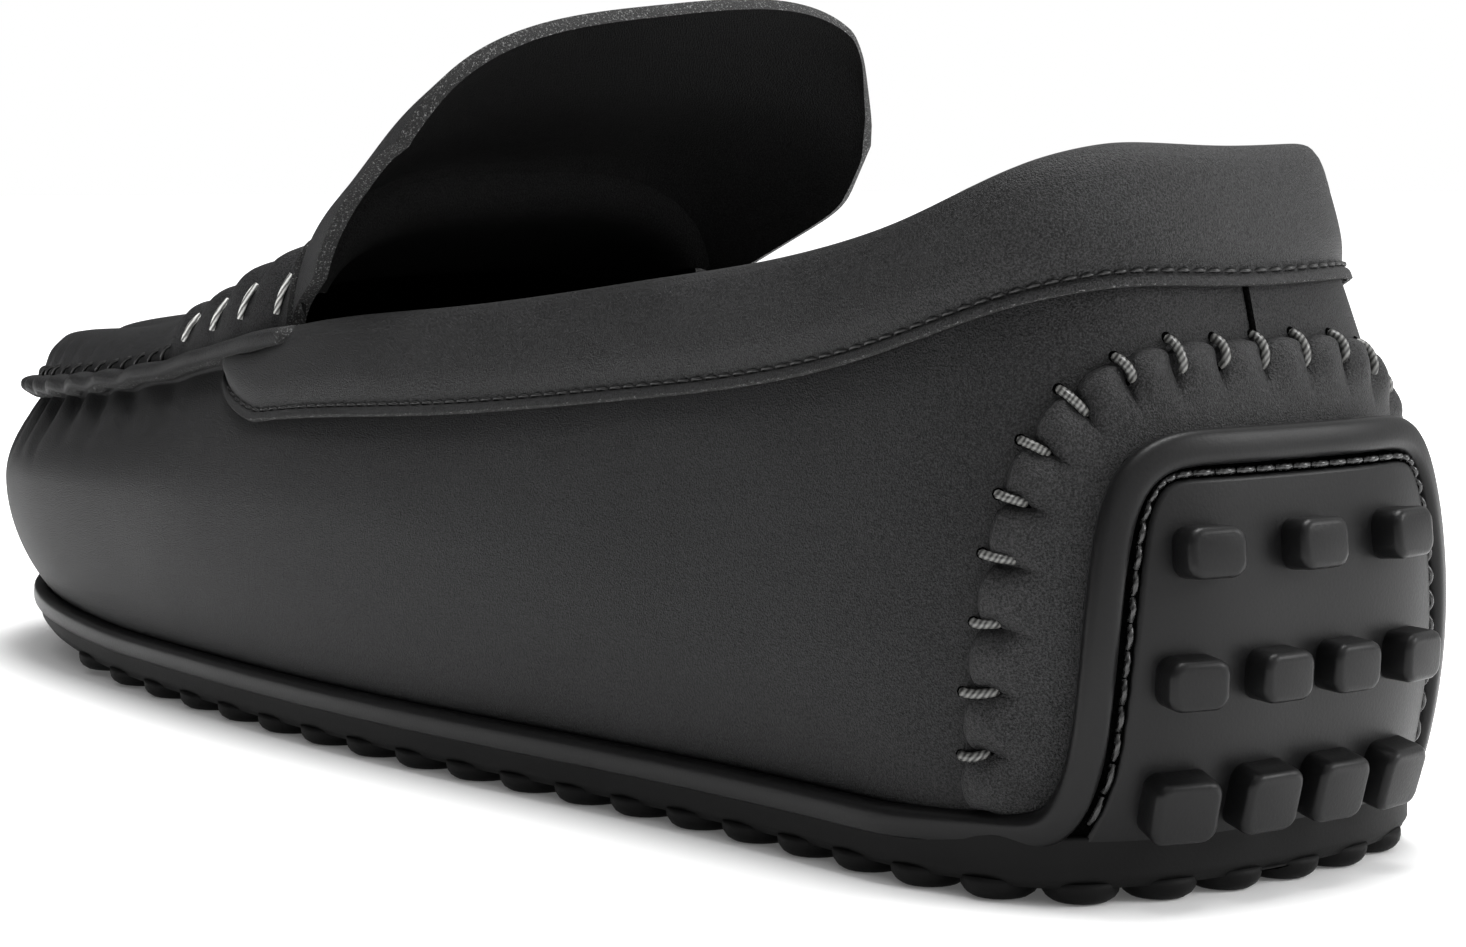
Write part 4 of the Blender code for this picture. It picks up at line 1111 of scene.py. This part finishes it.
def plate_place(u, w):
    """The plate's section: middle of the top, edge, side, underside, middle again."""
    reach = rim_reach(u) - SLAB_INSET
    top_share = np.clip(w / 0.2, 0.0, 1.0)
    side = np.clip((w - 0.2) / 0.5, 0.0, 1.0)
    low_share = np.clip((w - 0.7) / 0.3, 0.0, 1.0)
    high = TUB.beside(u, reach, -0.0004)
    other_high = TUB.beside(1.0 - u, reach, -0.0004)
    low = TUB.beside(u, reach, 0.0)
    low[:, 2] = NUB_HEIGHT + slab_lift(low[:, 0])
    other_low = TUB.beside(1.0 - u, reach, 0.0)
    other_low[:, 2] = NUB_HEIGHT + slab_lift(other_low[:, 0])
    round_low = 0.0007 * smooth_step((side - 0.8) / 0.2)
    edge = high * (1 - side)[:, None] + low * side[:, None] - TUB.flat_outward(u) * round_low[:, None]
    middle = np.where((w < 0.2)[:, None], (high + other_high) / 2, (low + other_low) / 2)
    share = np.where(w < 0.2, 1.0 - top_share, low_share)[:, None]
    return edge * (1 - share) + middle * share


finish_piece("sole_plate", skin(360, 30, plate_place), [PAINTED_SHADE_RUBBER], "outsole")

# The rim's path: along the sole's side, then up and over the heel panel's edge, and back along the inner side.
FLAP_LOOP = outline_loop(FLAP_OUTLINE, FLAP_HALF_ARC, SOLE_TOP - 0.0022, FLAP_HEIGHT)
RIM_HALF = 0.0021
SIDE_RIM_HALF = 0.0019
RIM_DEPTH = 0.0017
RIM_ROUND = 2.0 / 3.1
FLAP_POINTS = 261
SIDE_POINTS = 900
RIM_POINTS = 1500
flap_shares = np.linspace(0.045, 0.955, FLAP_POINTS)
flap_path = along_loop(FLAP_LOOP, flap_shares, np.full(FLAP_POINTS, RIM_HALF)) - (FLAP_SHIFT, 0.0)
over_heel = on_heel(flap_path, FLAP_BACK + 0.0016)
heel_out = unit(on_heel(flap_path, 0.006) - on_heel(flap_path, 0.0))
RIM_START = TUB.station(0.052)
side_stations = np.linspace(1.0 - RIM_START, RIM_START, SIDE_POINTS)
round_toe = TUB.beside(side_stations, RIM_OVERHANG - 0.0016, -0.0009)
toe_out = TUB.flat_outward(side_stations)
rim_path = np.concatenate([over_heel, round_toe])
rim_out = np.concatenate([heel_out, toe_out])
rim_wide = np.concatenate([np.full(FLAP_POINTS, RIM_HALF), np.full(SIDE_POINTS, SIDE_RIM_HALF)])


def closed_smooth(values, window):
    """A closed run of values smoothed along itself."""
    kernel = np.hanning(2 * window + 1)
    wrapped = np.concatenate([values[-window:], values, values[:window]])
    return np.stack([np.convolve(wrapped[:, axis], kernel / kernel.sum(), "valid")
                     for axis in range(values.shape[1])], -1)


rim_table = np.column_stack([rim_path, rim_out, rim_wide])
rim_table = np.vstack([rim_table, rim_table[:1]])
rim_table = closed_smooth(evenly(rim_table, RIM_POINTS + 1, 3)[:-1], 14)


def rim_place(along, w):
    """The rim's rounded section, carried along its closed path."""
    place = np.mod(along, 1.0) * len(rim_table)
    row = place.astype(int) % len(rim_table)
    share = (place - np.floor(place))[:, None]
    at = rim_table[row] * (1 - share) + rim_table[(row + 1) % len(rim_table)] * share
    ahead = rim_table[(row + 3) % len(rim_table), :3] - rim_table[row - 3, :3]
    tangent = unit(ahead)
    outward = unit(at[:, 3:6] - tangent * (at[:, 3:6] * tangent).sum(-1, keepdims=True))
    across = np.cross(tangent, outward)
    turn = w * 2 * np.pi
    wide = np.sign(np.cos(turn)) * np.abs(np.cos(turn)) ** RIM_ROUND * at[:, 6]
    deep = np.sign(np.sin(turn)) * np.abs(np.sin(turn)) ** RIM_ROUND * RIM_DEPTH
    return at[:, :3] + across * wide[:, None] + outward * deep[:, None]


finish_piece("sole_rim", skin(RIM_POINTS, 24, rim_place), [RUBBER], "outsole")

# The heel panel: flat rubber inside the rim, set off by a groove painted near black as painted shade, which holds a
# line of black stitches.
PANEL_FACE = FLAP_FACE - 0.0007
PANEL_GROOVE = 0.0011


def panel_place(along, w):
    """The heel panel: from under the rim, up out of its groove, and in to a line up the middle."""
    whole = 0.02 + along * 0.96
    share = 0.5 - np.abs(whole - 0.5)
    mirrored = np.where(whole > 0.5, -1.0, 1.0)
    edge = np.clip(w / 0.35, 0.0, 1.0)
    middle = np.clip((w - 0.35) / 0.65, 0.0, 1.0)
    inset = RIM_HALF + 0.0004 + 0.0046 * edge
    flat = along_loop(FLAP_LOOP, share, inset)
    spine = np.stack([np.zeros_like(w), np.clip(flat[:, 1], SOLE_TOP - 0.001, FLAP_HEIGHT - 0.016)], -1)
    flat = flat * (1.0 - middle)[:, None] + spine * middle[:, None]
    flat = flat * np.stack([mirrored, np.ones_like(w)], -1) - (FLAP_SHIFT, 0.0)
    rise = smooth_step((inset - 2 * RIM_HALF - 0.0010) / 0.0005)
    return on_heel(flat, PANEL_FACE - PANEL_GROOVE * (1.0 - rise))


panel_shape = skin(420, 44, panel_place)
# Painted shade: the groove's faces get the near-black material.
paint(panel_shape, 1, lambda u, w: w < 0.228)
finish_piece("heel_panel", panel_shape, [RUBBER, BLACK_AND_PAINTED_SHADE], "outsole")

panel_stitches = []
panel_run = np.linalg.norm(np.diff(FLAP_LOOP, axis=0), axis=1).sum()
PANEL_STITCH = 0.0030
for start in np.arange(0.062, 0.938, PANEL_STITCH / panel_run):
    stitch = []
    for share, lift in ((0.08, -0.0003), (0.35, 0.0002), (0.65, 0.0002), (0.92, -0.0003)):
        flat = along_loop(FLAP_LOOP, np.array([start + share * PANEL_STITCH / panel_run]),
                          np.array([2 * RIM_HALF + 0.0007])) - (FLAP_SHIFT, 0.0)
        stitch.append(on_heel(flat, PANEL_FACE - 0.0004 + lift)[0])
    panel_stitches.append(stitch)
PANEL_THREAD = thread_material("waxed black thread", (0.018, 0.018, 0.018), 0.25)
thread("panel_stitches", panel_stitches, 0.00038, PANEL_THREAD)

# Blocks in rows across the heel panel, the lowest row larger: height of the row's middle, distance between
# blocks, how many there are, and each one's length and height.
BLOCK_HEIGHT = 0.0026
BLOCK_ROOT = 0.0022
BLOCK_CORNER = 0.0019
BLOCK_EDGE = 0.0009
BLOCKS = ((0.0410, 0.0150, 3, 0.0078, 0.0060), (0.0270, 0.0112, 4, 0.0078, 0.0060),
          (0.0135, 0.0112, 4, 0.0086, 0.0078))


def once(parts):
    """The parts of a mesh in their order, each of them once."""
    return list(dict.fromkeys(parts))


block_shape = bmesh.new()
for height, pitch, count, long, tall in BLOCKS:
    for arc in (np.arange(count) - (count - 1) / 2) * pitch:
        flat = np.array([arc, height])
        middle = on_heel(flat, PANEL_FACE)
        along = unit(on_heel(flat + (0.001, 0.0), FLAP_FACE) - on_heel(flat - (0.001, 0.0), FLAP_FACE))
        outward = unit(np.cross(along, on_heel(flat + (0.0, 0.001), FLAP_FACE) - on_heel(flat, FLAP_FACE)))
        outward = outward * -np.sign(outward[0])
        turn = Matrix((along, np.cross(outward, along), outward)).transposed().to_4x4()
        size = Matrix.Diagonal((long, tall, BLOCK_HEIGHT * 2 + BLOCK_ROOT, 1.0))
        made = bmesh.ops.create_cube(block_shape, size=1.0, matrix=Matrix.Translation(middle) @ turn @ size)
        uprights = [edge for edge in once(edge for vert in made["verts"] for edge in vert.link_edges)
                    if abs((edge.verts[0].co - edge.verts[1].co).normalized().dot(Vector(outward))) > 0.9]
        rounded = bmesh.ops.bevel(block_shape, geom=uprights, offset=BLOCK_CORNER, offset_type="OFFSET", segments=5,
                                  profile=0.5, affect="EDGES", material=-1)
        faces = once(face for vert in rounded["verts"] for face in vert.link_faces)
        front = max(faces, key=lambda face: (face.calc_center_median() - Vector(middle)).dot(Vector(outward)))
        bmesh.ops.bevel(block_shape, geom=list(front.edges), offset=BLOCK_EDGE, offset_type="OFFSET", segments=3,
                        profile=0.5, affect="EDGES", material=-1)
finish_piece("heel_blocks", block_shape, [RUBBER], "outsole")

# Nubs under the sole, like flat pebbles: one row follows the edge and staggered rows fill the middle.
NUB_PITCH_HEEL = 0.0094
NUB_PITCH_BALL = 0.0140
NUB_FILL = 0.97
NUB_ROUND = 0.0021
INNER_SPREAD = 1.45
INNER_CLEAR = 1.06
NUB_END = 0.315


def nub_pitch(x):
    """Distance between nubs at a place along the sole."""
    share = np.clip((x + LENGTH / 2) / (LENGTH * (NUB_END + 0.5)), 0.0, 1.0)
    return NUB_PITCH_HEEL + (NUB_PITCH_BALL - NUB_PITCH_HEEL) * share


walk = np.linspace(0.0, 1.0, 1201)
walk_inset = nub_pitch(TUB.frame(walk).plan[:, 0]) * 0.45
nub_path = TUB.beside(walk, rim_reach(walk) - SLAB_INSET - walk_inset, np.zeros_like(walk))[:, :2]
turns = np.linalg.norm(np.diff(nub_path, axis=0), axis=1) / nub_pitch(nub_path[1:, 0])
turns = np.concatenate([[0.0], np.cumsum(turns)])
edge_count = int(round(turns[-1]))
edge_places = (np.arange(edge_count) + 0.5) * turns[-1] / edge_count
edge_nubs = np.stack([np.interp(edge_places, turns, nub_path[:, axis]) for axis in (0, 1)], -1)
nub_centres = list(edge_nubs)
outer_path = nub_path[:600]
inner_path = nub_path[:600:-1]
x = nub_path[0, 0] + nub_pitch(nub_path[0, 0])
row = 0
while x < NUB_END * LENGTH:
    spacing = nub_pitch(x) * INNER_SPREAD
    left = np.interp(x, outer_path[:, 0], outer_path[:, 1])
    right = np.interp(x, inner_path[:, 0], inner_path[:, 1])
    for y in (np.arange(-4, 5) + (row % 2) / 2) * spacing:
        spot = np.array([x, (left + right) / 2 + y])
        if right < spot[1] < left and np.linalg.norm(edge_nubs - spot, axis=1).min() > nub_pitch(x) * INNER_CLEAR:
            nub_centres.append(spot)
    x += spacing * math.sin(math.radians(60))
    row += 1
nub_shape = bmesh.new()
for x, y in nub_centres:
    if x < NUB_END * LENGTH:
        radius = nub_pitch(x) * NUB_FILL / 2
        lift = float(slab_lift(x))
        depth = NUB_HEIGHT + 0.0006
        made = bmesh.ops.create_cone(nub_shape, cap_ends=True, segments=20, radius1=radius, radius2=radius,
                                     depth=depth, matrix=Matrix.Translation((x, y, lift + depth / 2)))
        low_edges = [edge for edge in once(edge for vert in made["verts"] for edge in vert.link_edges)
                     if max(vert.co.z for vert in edge.verts) < lift + 0.0001]
        bmesh.ops.bevel(nub_shape, geom=low_edges, offset=NUB_ROUND, offset_type="OFFSET", segments=4,
                        profile=0.5, affect="EDGES", material=-1)
finish_piece("floor_nubs", nub_shape, [PAINTED_SHADE_RUBBER], "outsole")
